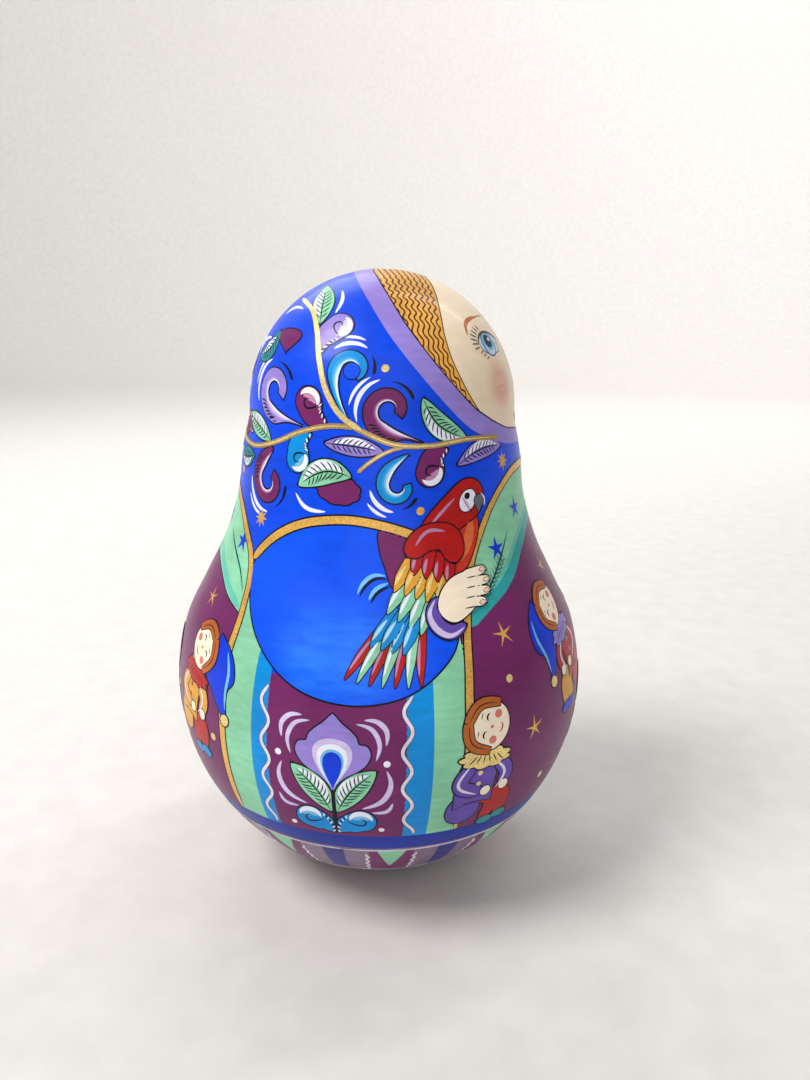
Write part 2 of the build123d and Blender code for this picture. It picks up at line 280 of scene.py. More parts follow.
def teardrop(top, tip, width):
    """Drop with a round top and a pointed lower tip."""
    around = np.linspace(0.0, 2.0 * math.pi, 44, endpoint=False)
    middle, reach = 0.5 * (top[1] + tip[1]), 0.5 * (top[1] - tip[1])
    across = 0.65 * width * np.sin(around) * np.sin(0.5 * around) ** 1.6
    return np.stack([top[0] + across, middle - reach * np.cos(around)], 1)


def star(centre, radius, arms, inner=0.3, turn=90.0):
    """Star with straight arms."""
    angles = np.radians(turn + np.arange(2 * arms) * 180.0 / arms)
    reach = np.where(np.arange(2 * arms) % 2 == 0, radius, radius * inner)
    return np.stack([centre[0] + reach * np.cos(angles), centre[1] + reach * np.sin(angles)], 1)


def polar(centre, radius, angle):
    """Point at a distance and an angle in degrees from a centre."""
    turn = math.radians(angle)
    return centre[0] + radius * math.cos(turn), centre[1] + radius * math.sin(turn)


def curl(centre, first_radius, last_radius, first, last, count=9):
    """Points of a turn about a centre, between two angles in degrees."""
    parts = [i / (count - 1) for i in range(count)]
    return [polar(centre, first_radius + (last_radius - first_radius) * part, first + (last - first) * part)
            for part in parts]


def anticlockwise(outline):
    ahead = np.roll(outline, -1, axis=0)
    area = np.sum(outline[:, 0] * ahead[:, 1] - ahead[:, 0] * outline[:, 1])
    return outline if area > 0 else outline[::-1]


def grow(outline, by):
    """The outline moved outwards."""
    outline = anticlockwise(outline)
    ahead = np.roll(outline, -1, axis=0) - outline
    ahead /= np.linalg.norm(ahead, axis=1)[:, None] + 1e-9
    out = np.stack([ahead[:, 1], -ahead[:, 0]], 1)
    middle = out + np.roll(out, 1, axis=0)
    middle /= np.linalg.norm(middle, axis=1)[:, None] + 1e-9
    stretch = np.clip(np.sum(middle * out, axis=1), 0.5, 1.0)
    return outline + middle * (by / stretch)[:, None]


def within(outline, points):
    """Which points lie inside an outline."""
    found = np.zeros(len(points), bool)
    for (x0, y0), (x1, y1) in zip(outline, np.roll(outline, -1, axis=0)):
        crosses = (y0 > points[:, 1]) != (y1 > points[:, 1])
        if crosses.any():
            across = (points[:, 1] - y0) * (x1 - x0) / (y1 - y0 + 1e-12)
            found ^= crosses & (points[:, 0] < x0 + across)
    return found


def both_halves(half, middle=0.0):
    """A symmetric outline from its half: the angles are mirrored about the middle."""
    mirrored = [(2.0 * middle - angle, height) for angle, height in reversed(half) if angle != middle]
    return half + mirrored


def from_side_to_side(half, middle=0.0):
    """A symmetric edge line from its half, which starts at the middle."""
    return [(2.0 * middle - angle, height) for angle, height in reversed(half)] + half[1:]


# ---------------------------------------------------------------- films of paint
GRID = 1.2  # spacing of the points inside a film
FIRST_LIFT = 0.02
LEVEL = 0.011  # how much higher each level of paint lies
SUNK = -0.12
INK = 0.32  # width of the dark outline round a shape
films = {}
base_films = {}


def film(chart, outline, colour, level, mirror=True, sheets=films):
    """Adds one island of paint to its colour, and its mirror image on the other side."""
    outline = anticlockwise(np.asarray(outline, float))
    low, high = outline.min(0), outline.max(0)
    rows = np.arange(low[1] + 0.4 * GRID, high[1], 0.87 * GRID)
    inner = [
        (x, y)
        for i, y in enumerate(rows)
        for x in np.arange(low[0] + (0.4 + 0.5 * (i % 2)) * GRID, high[0], GRID)
    ]
    inner = np.array(inner, float).reshape(-1, 2)
    inner = inner[within(grow(outline, -0.3), inner)]
    flat = [Vector(p) for p in np.vstack([outline, inner])]
    loop = [list(range(len(outline)))]
    points, _, triangles, *_ = delaunay_2d_cdt(flat, [], loop, 1, 1e-4)
    points = np.array([(p.x, p.y) for p in points])
    angle, s = chart(points)
    top, out = on_surface(angle, s, FIRST_LIFT + LEVEL * level)
    bottom, _ = on_surface(angle, s, SUNK)
    count = len(points)
    edges = {(t[i], t[(i + 1) % 3]) for t in triangles for i in range(3)}
    faces = [tuple(t) for t in triangles]
    faces += [tuple(count + v for v in reversed(t)) for t in triangles]
    faces += [(b, a, count + a, count + b) for a, b in edges if (b, a) not in edges]
    places = np.vstack([top, bottom])
    normals = np.vstack([out, out])
    for flip in (False, True) if mirror else (False,):
        sign = np.array([-1.0 if flip else 1.0, 1.0, 1.0])
        turned = [f[::-1] for f in faces] if flip else faces
        sheets.setdefault(colour, []).append((places * sign, normals * sign, turned))


def mark(chart, outline, colour, level, ink=INK, mirror=True):
    """A shape with a dark outline under it."""
    if ink:
        film(chart, grow(outline, ink), "ink", level, mirror)
    film(chart, outline, colour, level + 1, mirror)


def stroke(chart, points, width, colour, level, shape=crescent, mirror=True):
    film(chart, ribbon(points, width, shape), colour, level, mirror)


# ---------------------------------------------------------------- motifs
MOTIF = 4  # level of the ink under a motif
# main colour, then the lit bands: colour, reach across the scroll and end along it
LILAC_SCROLL = ("lilac", [("lilac_soft", 0.5, 0.93), ("lilac_pale", 0.36, 0.95), ("white", 0.16, 0.96)])
PLUM_SCROLL = (
    "plum",
    [("plum_soft", 0.46, 0.9), ("rose", 0.34, 0.93), ("lilac_pale", 0.24, 0.95), ("white", 0.12, 0.96)],
)
CYAN_SCROLL = (
    "cyan",
    [("cyan_soft", 0.68, 0.95), ("sky", 0.5, 0.96), ("sky_pale", 0.36, 0.97), ("white", 0.22, 0.98)],
)


def leaf(chart, base, bend, tip, width, colour, level, lit=1):
    """Leaf with a pale half, a dark midrib and veins."""
    path = [base, bend, tip]
    mark(chart, ribbon(path, width, leaf_shape), colour, level)
    pale = ribbon(path, width * 0.94, leaf_shape, 0.1 * lit, 0.5 * lit, (0.12, 0.9), True)
    film(chart, pale, "white", level + 2)
    line = curve(path, 0.2)
    stroke(chart, line[: int(len(line) * 0.92) : 3], 0.34, "ink", level + 3)
    ahead = np.gradient(line, axis=0)
    ahead /= np.linalg.norm(ahead, axis=1)[:, None]
    length = 0.2 * len(line)
    veins = max(int(length / 1.6), 3)
    for i in range(veins):
        at = int(len(line) * (0.14 + 0.68 * i / veins))
        reach = 0.4 * width * float(leaf_shape(np.array([at / len(line) + 0.08]))[0])
        for side in (-1.0, 1.0):
            out = side * np.array([-ahead[at, 1], ahead[at, 0]])
            start = line[at]
            end = start + out * reach + ahead[at] * reach * 0.9
            middle = 0.5 * (start + end) + out * reach * 0.12
            stroke(chart, [start, middle, end], 0.3, "ink", level + 3)


def scroll(chart, outer, inner, colours, hatch):
    """Hooked scroll between an outer and an inner edge line, lit along its inner edge."""
    level = MOTIF
    main, bands = colours
    outline = np.vstack([curve(outer, 0.5), curve(inner, 0.5)[::-1]])
    mark(chart, outline, main, level)
    count = 70
    t = np.linspace(0.0, 1.0, count)
    lines = [curve(edge, 0.1) for edge in (outer, inner)]
    far, near = [line[np.rint(t * (len(line) - 1)).astype(int)] for line in lines]
    for lift, (colour, reach, last) in enumerate(bands, 2):
        keep = (t > 0.04) & (t < last)
        inside = (t[keep] - 0.04) / (last - 0.04)
        share = (0.03 + (reach - 0.03) * np.sin(np.pi * inside) ** 0.55)[:, None]
        low = near[keep] + 0.03 * (far[keep] - near[keep])
        high = near[keep] + share * (far[keep] - near[keep])
        film(chart, np.vstack([low, high[::-1]]), colour, level + lift)
    if hatch:
        first, last = hatch
        for part in np.linspace(first, last, 7):
            i = int(part * count)
            edge = far[i] + 0.05 * (near[i] - far[i])
            deep = far[i] + 0.42 * (near[i - 2] - far[i])
            bow = 0.5 * (edge + deep) + 0.25 * (far[i + 2] - far[i])
            stroke(chart, [edge, bow, deep], 0.36, "ink", level + 6)


def ball(chart, tip, bend, centre, radius, colours, lit):
    """Fat comma round a disc, with a white cap, a spiral line and a comb down its inner side."""
    level = MOTIF
    colour, pale = colours
    widths = [0.2, 1.1 * radius, 1.8 * radius, 1.96 * radius]
    tail, head = ribbon([tip, bend, centre], widths), ring(centre, radius)
    for outline, lift in ((tail, 1), (head, 2)):
        film(chart, grow(outline, INK), "ink", level)
        film(chart, outline, colour, level + lift)
    back = math.degrees(math.atan2(tip[1] - centre[1], tip[0] - centre[0]))
    turn = math.copysign(1.0, math.sin(math.radians(lit - back)))
    for share, half, width, cap, lift in ((0.52, 75.0, 0.86, pale, 3), (0.76, 85.0, 0.42, "white", 4)):
        points = curl(centre, share * radius, share * radius, lit - half, lit + half, 7)
        stroke(chart, points, width * radius, cap, level + lift)
    start = back + 38.0 * turn
    spiral = [polar(centre, 0.98 * radius, start)]
    spiral += curl(centre, 0.48 * radius, 0.16 * radius, start - 48.0 * turn, start - 320.0 * turn, 7)
    stroke(chart, spiral, 0.4, "ink", level + 5)
    line = curve([tip, bend, centre], 0.2)
    ahead = np.gradient(line, axis=0)
    ahead /= np.linalg.norm(ahead, axis=1)[:, None]
    toward = np.array(polar((0.0, 0.0), 1.0, lit))
    for i in range(9):
        part = 0.1 + 0.075 * i
        at = int(len(line) * part)
        out = np.array([-ahead[at, 1], ahead[at, 0]])
        out *= math.copysign(1.0, float(out @ toward))
        half = 0.5 * np.interp(part, np.linspace(0.0, 1.0, 4), widths)
        tooth = [line[at] + out * (half - 0.3 * radius) - 0.3 * ahead[at], line[at] + out * (half + 0.1)]
        stroke(chart, tooth, 0.36, "ink" if i % 2 else "white", level + 4)


hood = patch(90.0, 110.0)


def vine():
    """Gold stems of the hood: the upper one is pale, the level ones are old gold."""
    upper = [(-18.8, 36.4), (-12.4, 32.2), (-10.1, 27.5), (-8.4, 20.3), (-6.2, 13.6), (-2.5, 8.5), (1.6, 6.0)]
    front = [(-1.0, 6.9), (2.0, 5.6), (8.0, 3.2), (16.0, 2.7), (25.0, 3.7), (36.0, 3.4)]
    back = [(1.0, 6.4), (-5.0, 6.6), (-12.0, 5.1), (-20.0, 2.0), (-28.0, 0.4), (-37.0, 1.3), (-46.0, 4.0)]
    twig = [(10.8, 2.6), (7.0, 1.4), (3.8, -0.6), (1.1, -3.0)]
    # The pale gold centre line down each stem is a painted highlight, standing in for the shine down the
    # rounded gold stroke.
    for points, width in ((front, 1.15), (back, 1.15), (twig, 0.85)):
        film(hood, ribbon(points, width), "old_gold", 12)
        film(hood, ribbon(points, 0.4 * width, leaf_shape), "gold_pale", 13)
    film(hood, ribbon(upper, 1.2), "gold_pale", 14)


def volute(chart, root, centre, radius, first, sweep, colours, hatch=None):
    """Stock scroll: a stem that rolls up round a centre, with brush strokes that echo it outside."""
    last = first + sweep
    outer = [root] + curl(centre, 1.04 * radius, 0.46 * radius, first, last, 11)
    inner = [root] + curl(centre, 0.46 * radius, 0.18 * radius, first + 0.12 * sweep, last - 0.05 * sweep)
    scroll(chart, outer, inner, colours, hatch)
    for gap, width, begin, end in ((1.7, 0.95, 0.3, 0.58), (3.3, 0.7, 0.38, 0.54)):
        away = radius * (1.0 - 0.5 * begin) + gap
        echo = curl(centre, away, away - 0.6, first + begin * sweep, first + end * sweep, 5)
        stroke(chart, echo, width, "white", MOTIF - 2)
    away = 0.7 * radius + 1.4
    echo = curl(centre, away, away - 0.5, first + 0.64 * sweep, first + 0.84 * sweep, 4)
    stroke(chart, echo, 0.8, "ink", MOTIF - 3, comma)


def hood_scrolls():
    volute(hood, (-12.0, 6.2), (-20.6, 13.2), 7.2, -60.0, -330.0, LILAC_SCROLL, (0.3, 0.47))
    volute(hood, (-20.6, 0.2), (-21.8, -6.6), 6.8, 80.0, 330.0, PLUM_SCROLL, (0.2, 0.4))
    volute(hood, (14.8, 3.4), (7.4, 10.2), 6.6, -60.0, -330.0, PLUM_SCROLL, (0.24, 0.42))
    volute(hood, (-0.6, 6.6), (-0.9, 18.4), 5.4, 215.0, -270.0, CYAN_SCROLL)
    volute(hood, (11.8, 1.1), (10.0, -5.6), 5.3, 110.0, 260.0, CYAN_SCROLL)
    mark(hood, ring((-0.9, 18.2), 1.7), "azure", MOTIF + 6, ink=0.2)
    mark(hood, teardrop((-18.2, 27.4), (-9.6, 21.8), 9.0), "plum", MOTIF)


def hood_balls():
    plum, cyan, lilac = ("plum", "rose"), ("cyan", "sky"), ("lilac", "lilac_pale")
    ball(hood, (-6.2, 7.3), (-9.3, 8.9), (-10.6, 11.4), 3.2, plum, 62.0)
    ball(hood, (-9.7, 4.6), (-12.6, 2.6), (-12.9, -0.9), 2.9, cyan, -45.0)
    ball(hood, (20.6, 1.8), (17.6, 0.3), (16.7, -2.8), 3.1, plum, -55.0)
    ball(hood, (-8.4, 21.6), (-7.6, 25.6), (-4.7, 28.5), 3.1, lilac, -20.0)
    ball(hood, (-31.0, 3.0), (-34.4, 5.2), (-37.0, 4.5), 2.7, plum, 140.0)


def hood_leaves():
    mark(hood, ring((-3.0, -6.8), 4.6, 0.62, -8.0, scallops=9, depth=0.08), "plum", MOTIF)
    leaf(hood, (-0.2, -3.9), (-5.4, -3.0), (-12.4, -6.6), 5.4, "mint", MOTIF + 3, -1)
    for base, bend, tip, width, colour, lit in (
        ((14.4, 12.7), (17.8, 7.4), (25.4, 3.9), 4.8, "mint", -1),
        ((-9.6, 28.9), (-10.2, 35.0), (-11.2, 41.2), 5.8, "mint", 1),
        ((-21.7, 2.2), (-27.5, 5.0), (-34.0, 7.0), 4.6, "mint", -1),
        ((-28.4, -1.9), (-32.0, -2.6), (-38.0, -3.0), 4.4, "teal", 1),
        ((-6.4, 2.9), (0.2, 2.5), (6.4, 1.5), 3.9, "lilac", 1),
        ((23.2, -1.7), (28.6, 1.0), (37.0, 1.6), 4.2, "lilac", 1),
        ((-41.0, 1.8), (-45.0, -2.5), (-51.0, -4.0), 4.6, "mint", 1),
        ((-22.5, 27.0), (-25.0, 22.5), (-31.0, 20.5), 4.6, "teal", -1),
    ):
        leaf(hood, base, bend, tip, width, colour, MOTIF, lit)


LOOSE_STROKES = [
    [(-24.1, 31.4), (-20.0, 33.5), (-16.2, 33.1)],
    [(-13.2, -8.2), (-11.0, -10.8), (-5.6, -11.6)],
    [(-6.3, 31.7), (-5.4, 36.0), (-6.2, 39.4)],
    [(-26.5, 25.0), (-29.5, 24.8), (-32.5, 23.4)],
    [(-38.5, -1.0), (-41.5, -3.4), (-43.0, -7.0)],
    [(-39.0, 7.6), (-42.6, 8.6), (-46.0, 7.6)],
]


def hood_touches():
    """Loose brush strokes, dots and stars between the motifs."""
    for points in LOOSE_STROKES:
        stroke(hood, points, 0.9, "white", MOTIF - 2)
    mark(hood, ring((6.1, 18.9), 0.85), "gold_pale", MOTIF, ink=0)
    film(hood, ring((14.8, -11.0), 0.9), "gold", MOTIF)
    for angle, height in ((128.0, 95.0), (26.0, 108.0)):
        film(patch(angle, height), star((0.0, 0.0), 2.2, 8, 0.42), "gold", MOTIF)
    film(patch(150.0, 104.0), ring((0.0, 0.0), 0.9), "gold", MOTIF)


def back_spray():
    """Upright spray in the middle of the hood's back; its right half is drawn and mirrored."""
    back = patch(180.0, 100.0)
    stem = [(0.0, 2.0), (0.0, 20.0), (0.0, 30.0)]
    for width, colour, level in ((1.7, "ink", 13), (1.1, "gold", 14)):
        film(back, ribbon(stem, width), colour, level, mirror=False)
    leaf(back, (0.8, 6.0), (5.0, 8.0), (10.0, 14.0), 4.6, "mint", MOTIF)
    leaf(back, (0.8, 14.5), (4.6, 17.0), (8.6, 22.5), 4.2, "teal", MOTIF, lit=-1)
    volute(back, (1.0, 23.0), (8.4, 28.4), 5.0, 190.0, -280.0, LILAC_SCROLL)
    mark(back, ribbon([(0.0, 29.0), (0.0, 35.0), (0.0, 41.0)], 7.0, leaf_shape), "plum", MOTIF, mirror=False)
    petals = (((30.5, 35.0, 39.0), 3.4, "white", 2), ((31.0, 34.5, 37.5), 1.9, "cobalt", 3))
    for heights, width, colour, up in petals:
        film(back, ribbon([(0.0, y) for y in heights], width, leaf_shape), colour, MOTIF + up, False)
    for points in ([(6.0, 3.0), (10.5, 5.0), (13.0, 9.0)], [(9.5, 18.0), (12.5, 21.0), (12.8, 25.0)],
                   [(4.0, 38.0), (7.5, 37.4), (10.5, 34.6)]):
        stroke(back, points, 0.9, "white", MOTIF)


# ---------------------------------------------------------------- head
BAND_MIDDLE = [
    (0.0, 112.0), (22.0, 113.5), (32.0, 115.3), (42.0, 118.0), (52.0, 122.8), (62.0, 129.0), (72.0, 135.8),
    (82.0, 142.5), (95.0, 147.0), (120.0, 149.2), (180.0, 149.75),
]
BAND_WIDTH = [3.0, 3.4, 4.0, 4.6, 4.9, 5.0, 4.8, 4.4, 4.0]
FACE_EDGE = [
    (0.0, 148.5), (16.0, 148.1), (32.0, 146.5), (42.0, 143.5), (48.0, 139.0), (50.0, 135.0), (49.0, 130.0),
    (46.0, 126.0), (41.0, 121.5), (36.0, 118.5), (28.0, 115.6), (14.0, 113.4), (0.0, 112.8),
]
HAIR_LINES = 10
HAIR_SPACING = 1.4


def head_fields():
    """Hair with its waved lines, the face and the lilac band of the hood."""
    band = crowned(BAND_MIDDLE)
    hair = np.array(crowned(both_halves(BAND_MIDDLE)))
    hair_outline = curve(hair[:-1], 1.0, closed=True)
    film(crown, hair_outline, "hair", 0, mirror=False)
    face = np.array(crowned(both_halves(FACE_EDGE)))
    face_outline = curve(face[:-1], 0.8, closed=True)
    face_line = curve(crowned(FACE_EDGE), 0.25)
    ahead = np.gradient(face_line, axis=0)
    ahead /= np.linalg.norm(ahead, axis=1)[:, None]
    out = np.stack([-ahead[:, 1], ahead[:, 0]], 1)
    if within(face_outline, face_line[40:41] + out[40:41]).any():
        out = -out
    along = 0.25 * np.arange(len(face_line))
    for i in range(1, HAIR_LINES):
        calm = np.clip((np.hypot(face_line[:, 0], face_line[:, 1]) - 12.0) / 8.0, 0.0, 1.0)
        waves = 0.42 * calm * np.sin(2.0 * math.pi * along / 2.9 + 0.3 * i)
        line = face_line + out * (HAIR_SPACING * i + waves)[:, None]
        held = within(hair_outline, line) & ~within(face_outline, line)
        runs = np.flatnonzero(np.diff(np.concatenate([[0], held.astype(int), [0]])))
        for first, last in zip(runs[::2], runs[1::2]):
            if last - first > 8:
                film(crown, ribbon(line[first:last:2], 0.42, step=0.4), "umber", 1)
    film(crown, grow(face_outline, 0.28), "ink", 2, mirror=False)
    film(crown, face_outline, "skin", 3, mirror=False)
    film(crown, ribbon(band, [w + 0.7 for w in BAND_WIDTH], a=-0.5, b=0.38, step=0.8), "ink", 4)
    film(crown, ribbon(band, BAND_WIDTH, step=0.8), "lilac", 5)


def face():
    """The right eye and brow, mirrored for the left, then a small nose and mouth."""
    eye = patch(20.0, 130.0)
    level = 4
    stroke(eye, [(-7.7, 6.0), (-6.0, 9.0), (-2.6, 10.6), (0.8, 11.0)], 1.0, "auburn", level)
    stroke(eye, [(-2.6, 10.6), (1.0, 11.2), (5.4, 11.4)], 0.4, "auburn", level + 1)
    white = ribbon([(-5.0, 4.4), (-1.0, 4.3), (4.4, 4.8)], 5.2, bean)
    film(eye, grow(white, 0.25), "slate", level)
    film(eye, white, "eye_white", level + 1)
    film(eye, ring((-0.9, 3.9), 3.0), "slate", level + 2)
    film(eye, ring((-0.9, 3.9), 2.7), "sky", level + 3)
    stroke(eye, curl((-0.9, 3.9), 2.1, 2.1, 190.0, 350.0), 0.9, "eye_white", level + 4)
    film(eye, ring((-0.9, 4.6), 1.6), "ink", level + 5)
    film(eye, ring((-0.3, 5.0), 0.45), "white", level + 6)
    lid = ribbon([(-5.6, 3.9), (-3.6, 6.4), (-0.6, 7.4), (2.4, 7.0), (5.0, 5.2)], 1.3, crescent)
    film(eye, lid, "skin", level + 6)
    stroke(eye, [(-5.7, 3.6), (-3.6, 6.0), (-0.8, 6.9), (2.2, 6.5), (4.9, 5.0)], 0.6, "umber", level + 7)
    for i in range(7):
        angle = math.radians(196.0 - 15.0 * i)
        root = (-1.0 + 4.5 * math.cos(angle), 4.0 + 3.0 * math.sin(angle))
        tip = (-1.0 + 6.6 * math.cos(angle), 4.0 + 4.9 * math.sin(angle))
        stroke(eye, [root, tip], 0.28, "umber", level + 7)
    for i in range(3):
        root = (-4.6 + 0.8 * i, 2.4 - 0.7 * i)
        stroke(eye, [root, (root[0] - 1.3, root[1] - 0.8)], 0.24, "umber", level + 7)
    middle = patch(0.0, 124.0)
    stroke(middle, [(0.3, 2.6), (1.5, 0.6), (0.9, -0.4)], 0.35, "hair", level)
    upper_lip = [(-3.0, -6.9), (-1.2, -6.0), (0.0, -6.4), (1.2, -6.0), (3.0, -6.9), (0.0, -7.4)]
    film(middle, curve(upper_lip, 0.4, closed=True), "lip", level, False)
    film(middle, ribbon([(-2.5, -7.0), (0.0, -7.9), (2.5, -7.0)], 1.3, crescent), "lip", level + 1, False)
    film(middle, ribbon([(-3.1, -6.8), (0.0, -7.3), (3.1, -6.8)], 0.22, crescent), "umber", level + 2, False)


# ---------------------------------------------------------------- lower body
GOLD_BACK = [
    (180.0, 100.5), (161.0, 99.5), (153.0, 98.3), (144.0, 95.6), (136.0, 91.7), (128.0, 86.5), (124.5, 81.5),
    (123.0, 76.0), (122.6, 66.0), (122.2, 50.0), (122.0, 29.0),
]
GOLD_FRONT = [
    (0.0, 106.0), (12.0, 105.9), (20.0, 105.0), (27.0, 102.8), (35.0, 98.9), (42.0, 93.9), (48.0, 88.3),
    (52.5, 81.0), (55.5, 73.0), (57.0, 64.0), (57.5, 50.0), (58.0, 29.0),
]
PLUM_FRONT = [(0.0, 92.6), (8.0, 91.7), (16.0, 89.4), (24.0, 86.7), (31.0, 83.3), (38.0, 80.6), (47.0, 77.8),
              (57.2, 74.2)]
PLUM_BACK = [(180.0, 86.5), (164.0, 83.9), (151.0, 82.6), (142.0, 80.6), (132.0, 77.2), (122.6, 74.6)]
BAND_TOP = 29.0
sleeve = patch(90.0, 75.0)
ARCH = [(-24.6, 12.6), (-21.9, 15.7), (-16.9, 19.6), (-11.3, 22.3), (-5.8, 23.6), (0.0, 24.0), (6.0, 23.2),
        (14.5, 20.6)]
SLEEVE = [
    (-24.0, 11.8), (-23.6, 5.2), (-21.6, -0.4), (-16.3, -7.0), (-9.1, -11.9), (-1.3, -14.1), (7.8, -14.2),
    (15.4, -12.2), (21.0, -8.4), (24.6, -3.6), (24.6, 3.0), (18.0, 12.0), (9.0, 20.8), (0.0, 23.6),
    (-5.8, 23.2), (-11.3, 21.9), (-16.9, 19.2), (-21.9, 15.2),
]


def field(edge, bottom):
    """Closed outline between a smooth top edge and a level bottom edge."""
    top = curve(wrapped(edge), 1.2)
    last, first = top[-1], top[0]
    floor = s_at(bottom)
    down = even_steps(np.array([last, (last[0], floor)]), 1.4)
    across = even_steps(np.array([(last[0], floor), (first[0], floor)]), 1.4)
    up = even_steps(np.array([(first[0], floor), first]), 1.4)
    return np.vstack([top[:-1], down[:-1], across[:-1], up[:-1]])


def four_sided(corners, step):
    """Straight-sided outline through (angle, height) corners."""
    corners = wrapped(corners)
    sides = [even_steps(np.array([a, b]), step)[:-1] for a, b in zip(corners, corners[1:] + corners[:1])]
    return np.vstack(sides)


def strip(first, last, bottom, top):
    """Upright strip between two angles."""
    return four_sided([(first, bottom), (last, bottom), (last, top), (first, top)], 1.4)


def lower_fields():
    """Colour fields of the shawl and the panels, with the navy band under them."""
    for edge, middle in ((GOLD_FRONT[:9], 0.0), (GOLD_BACK[:8], 180.0)):
        film(wrap, field(from_side_to_side(edge, middle), 60.0), "mint", 0, mirror=False)
    for edge, middle in ((PLUM_FRONT, 0.0), (PLUM_BACK, 180.0)):
        outline = field(from_side_to_side(edge, middle), BAND_TOP)
        film(wrap, grow(outline, 0.3), "ink", 1, mirror=False)
        film(wrap, outline, "plum", 2, mirror=False)
    # The navy band is the blue band low on the belly, painted darker than the hood blue to stand in for the
    # shade there: partly its own colour, partly painted shade.
    for turn in (0.0, 90.0, 180.0, 270.0):
        quarter = strip(turn + 90.0, turn, SEAM_HEIGHT + 0.3, BAND_TOP + 0.1)
        film(wrap, quarter, "navy", 0, mirror=False)
    strips = [(123.0, 112.0, "mint", 88.0), (112.0, 107.3, "cyan", 72.0), (107.4, 72.8, "plum", 66.0),
              (73.0, 66.4, "cyan", 72.0), (66.4, 56.0, "mint", 80.0)]
    for first, last, colour, top in strips:
        film(wrap, strip(first, last, BAND_TOP, top), colour, 1)
    teal_edge = [(54.5, 75.6), (47.0, 78.8), (38.0, 81.8), (31.0, 84.6), (24.0, 88.0), (16.0, 90.9),
                 (8.0, 93.1), (0.0, 94.0), (-5.0, 93.65)]
    film(wrap, ribbon(wrapped(teal_edge), 2.8), "aqua", 3)
    film(wrap, ribbon(wrapped(teal_edge), 1.4, a=0.9, b=1.7), "aqua_pale", 4)
    back_edge = [(125.0, 76.2), (132.0, 78.6), (142.0, 81.9), (151.0, 84.4), (164.0, 85.5), (180.0, 88.0)]
    film(wrap, ribbon(wrapped(back_edge), 1.5), "aqua_pale", 3)


def shawl():
    """Gold edges, fold lines and stars of the shawl."""
    for line in (GOLD_BACK, GOLD_FRONT):
        film(wrap, ribbon(wrapped(line), 2.3, step=1.0), "ink", 5)
        film(wrap, ribbon(wrapped(line), 1.65, step=1.0), "gold", 6)
    for angle, height in ((19.0, 96.7), (36.4, 89.4), (136.0, 88.9), (160.0, 92.6)):
        film(patch(angle, height), star((0.0, 0.0), 2.8, 5, 0.32), "cobalt", 4)
    fold = [(50.0, 79.0), (44.0, 82.0), (36.0, 87.0), (28.0, 92.5)]
    stroke(wrap, wrapped(fold), 0.5, "teal_dark", 5)
    for i in range(9):
        angle = 45.5 - 1.3 * i
        height = 80.6 + 0.75 * i
        for lean, rise in ((-2.0, 0.3), (0.4, 2.3)):
            ends = wrapped([(angle - 0.5 * lean, height - 0.5 * rise), (angle + lean, height + rise)])
            stroke(wrap, ends, 0.2, "teal_dark", 5)
    stroke(wrap, wrapped([(126.0, 79.5), (131.0, 83.0), (139.0, 86.4), (149.0, 90.0)]), 0.5, "teal_dark", 4)


def azure_sleeve():
    """Round blue sleeve with its plum gusset, gold arch and two fold lines."""
    outline = curve(SLEEVE, 1.0, closed=True)
    film(sleeve, grow(outline, 0.4), "ink", 5)
    film(sleeve, outline, "azure", 6)
    gusset = [(6.2, 21.9), (6.5, 18.2), (7.9, 14.4), (10.6, 9.4), (16.0, 12.0), (15.0, 18.0), (10.5, 21.4)]
    mark(sleeve, curve(gusset, 0.7, closed=True), "plum", 7)
    film(sleeve, ribbon(ARCH, 2.4, step=0.8), "ink", 8)
    film(sleeve, ribbon(ARCH, 1.7, step=0.8), "gold", 9)
    folds = [[(2.6, 8.4), (3.6, 10.8), (5.6, 12.5), (8.3, 12.4)], [(5.1, 7.2), (6.2, 9.4), (9.0, 11.0)]]
    for points in folds:
        stroke(sleeve, points, 0.9, "sky", 8)
        lower = [(x + 0.5, y - 0.7) for x, y in points]
        stroke(sleeve, lower, 0.7, "ink", 7)


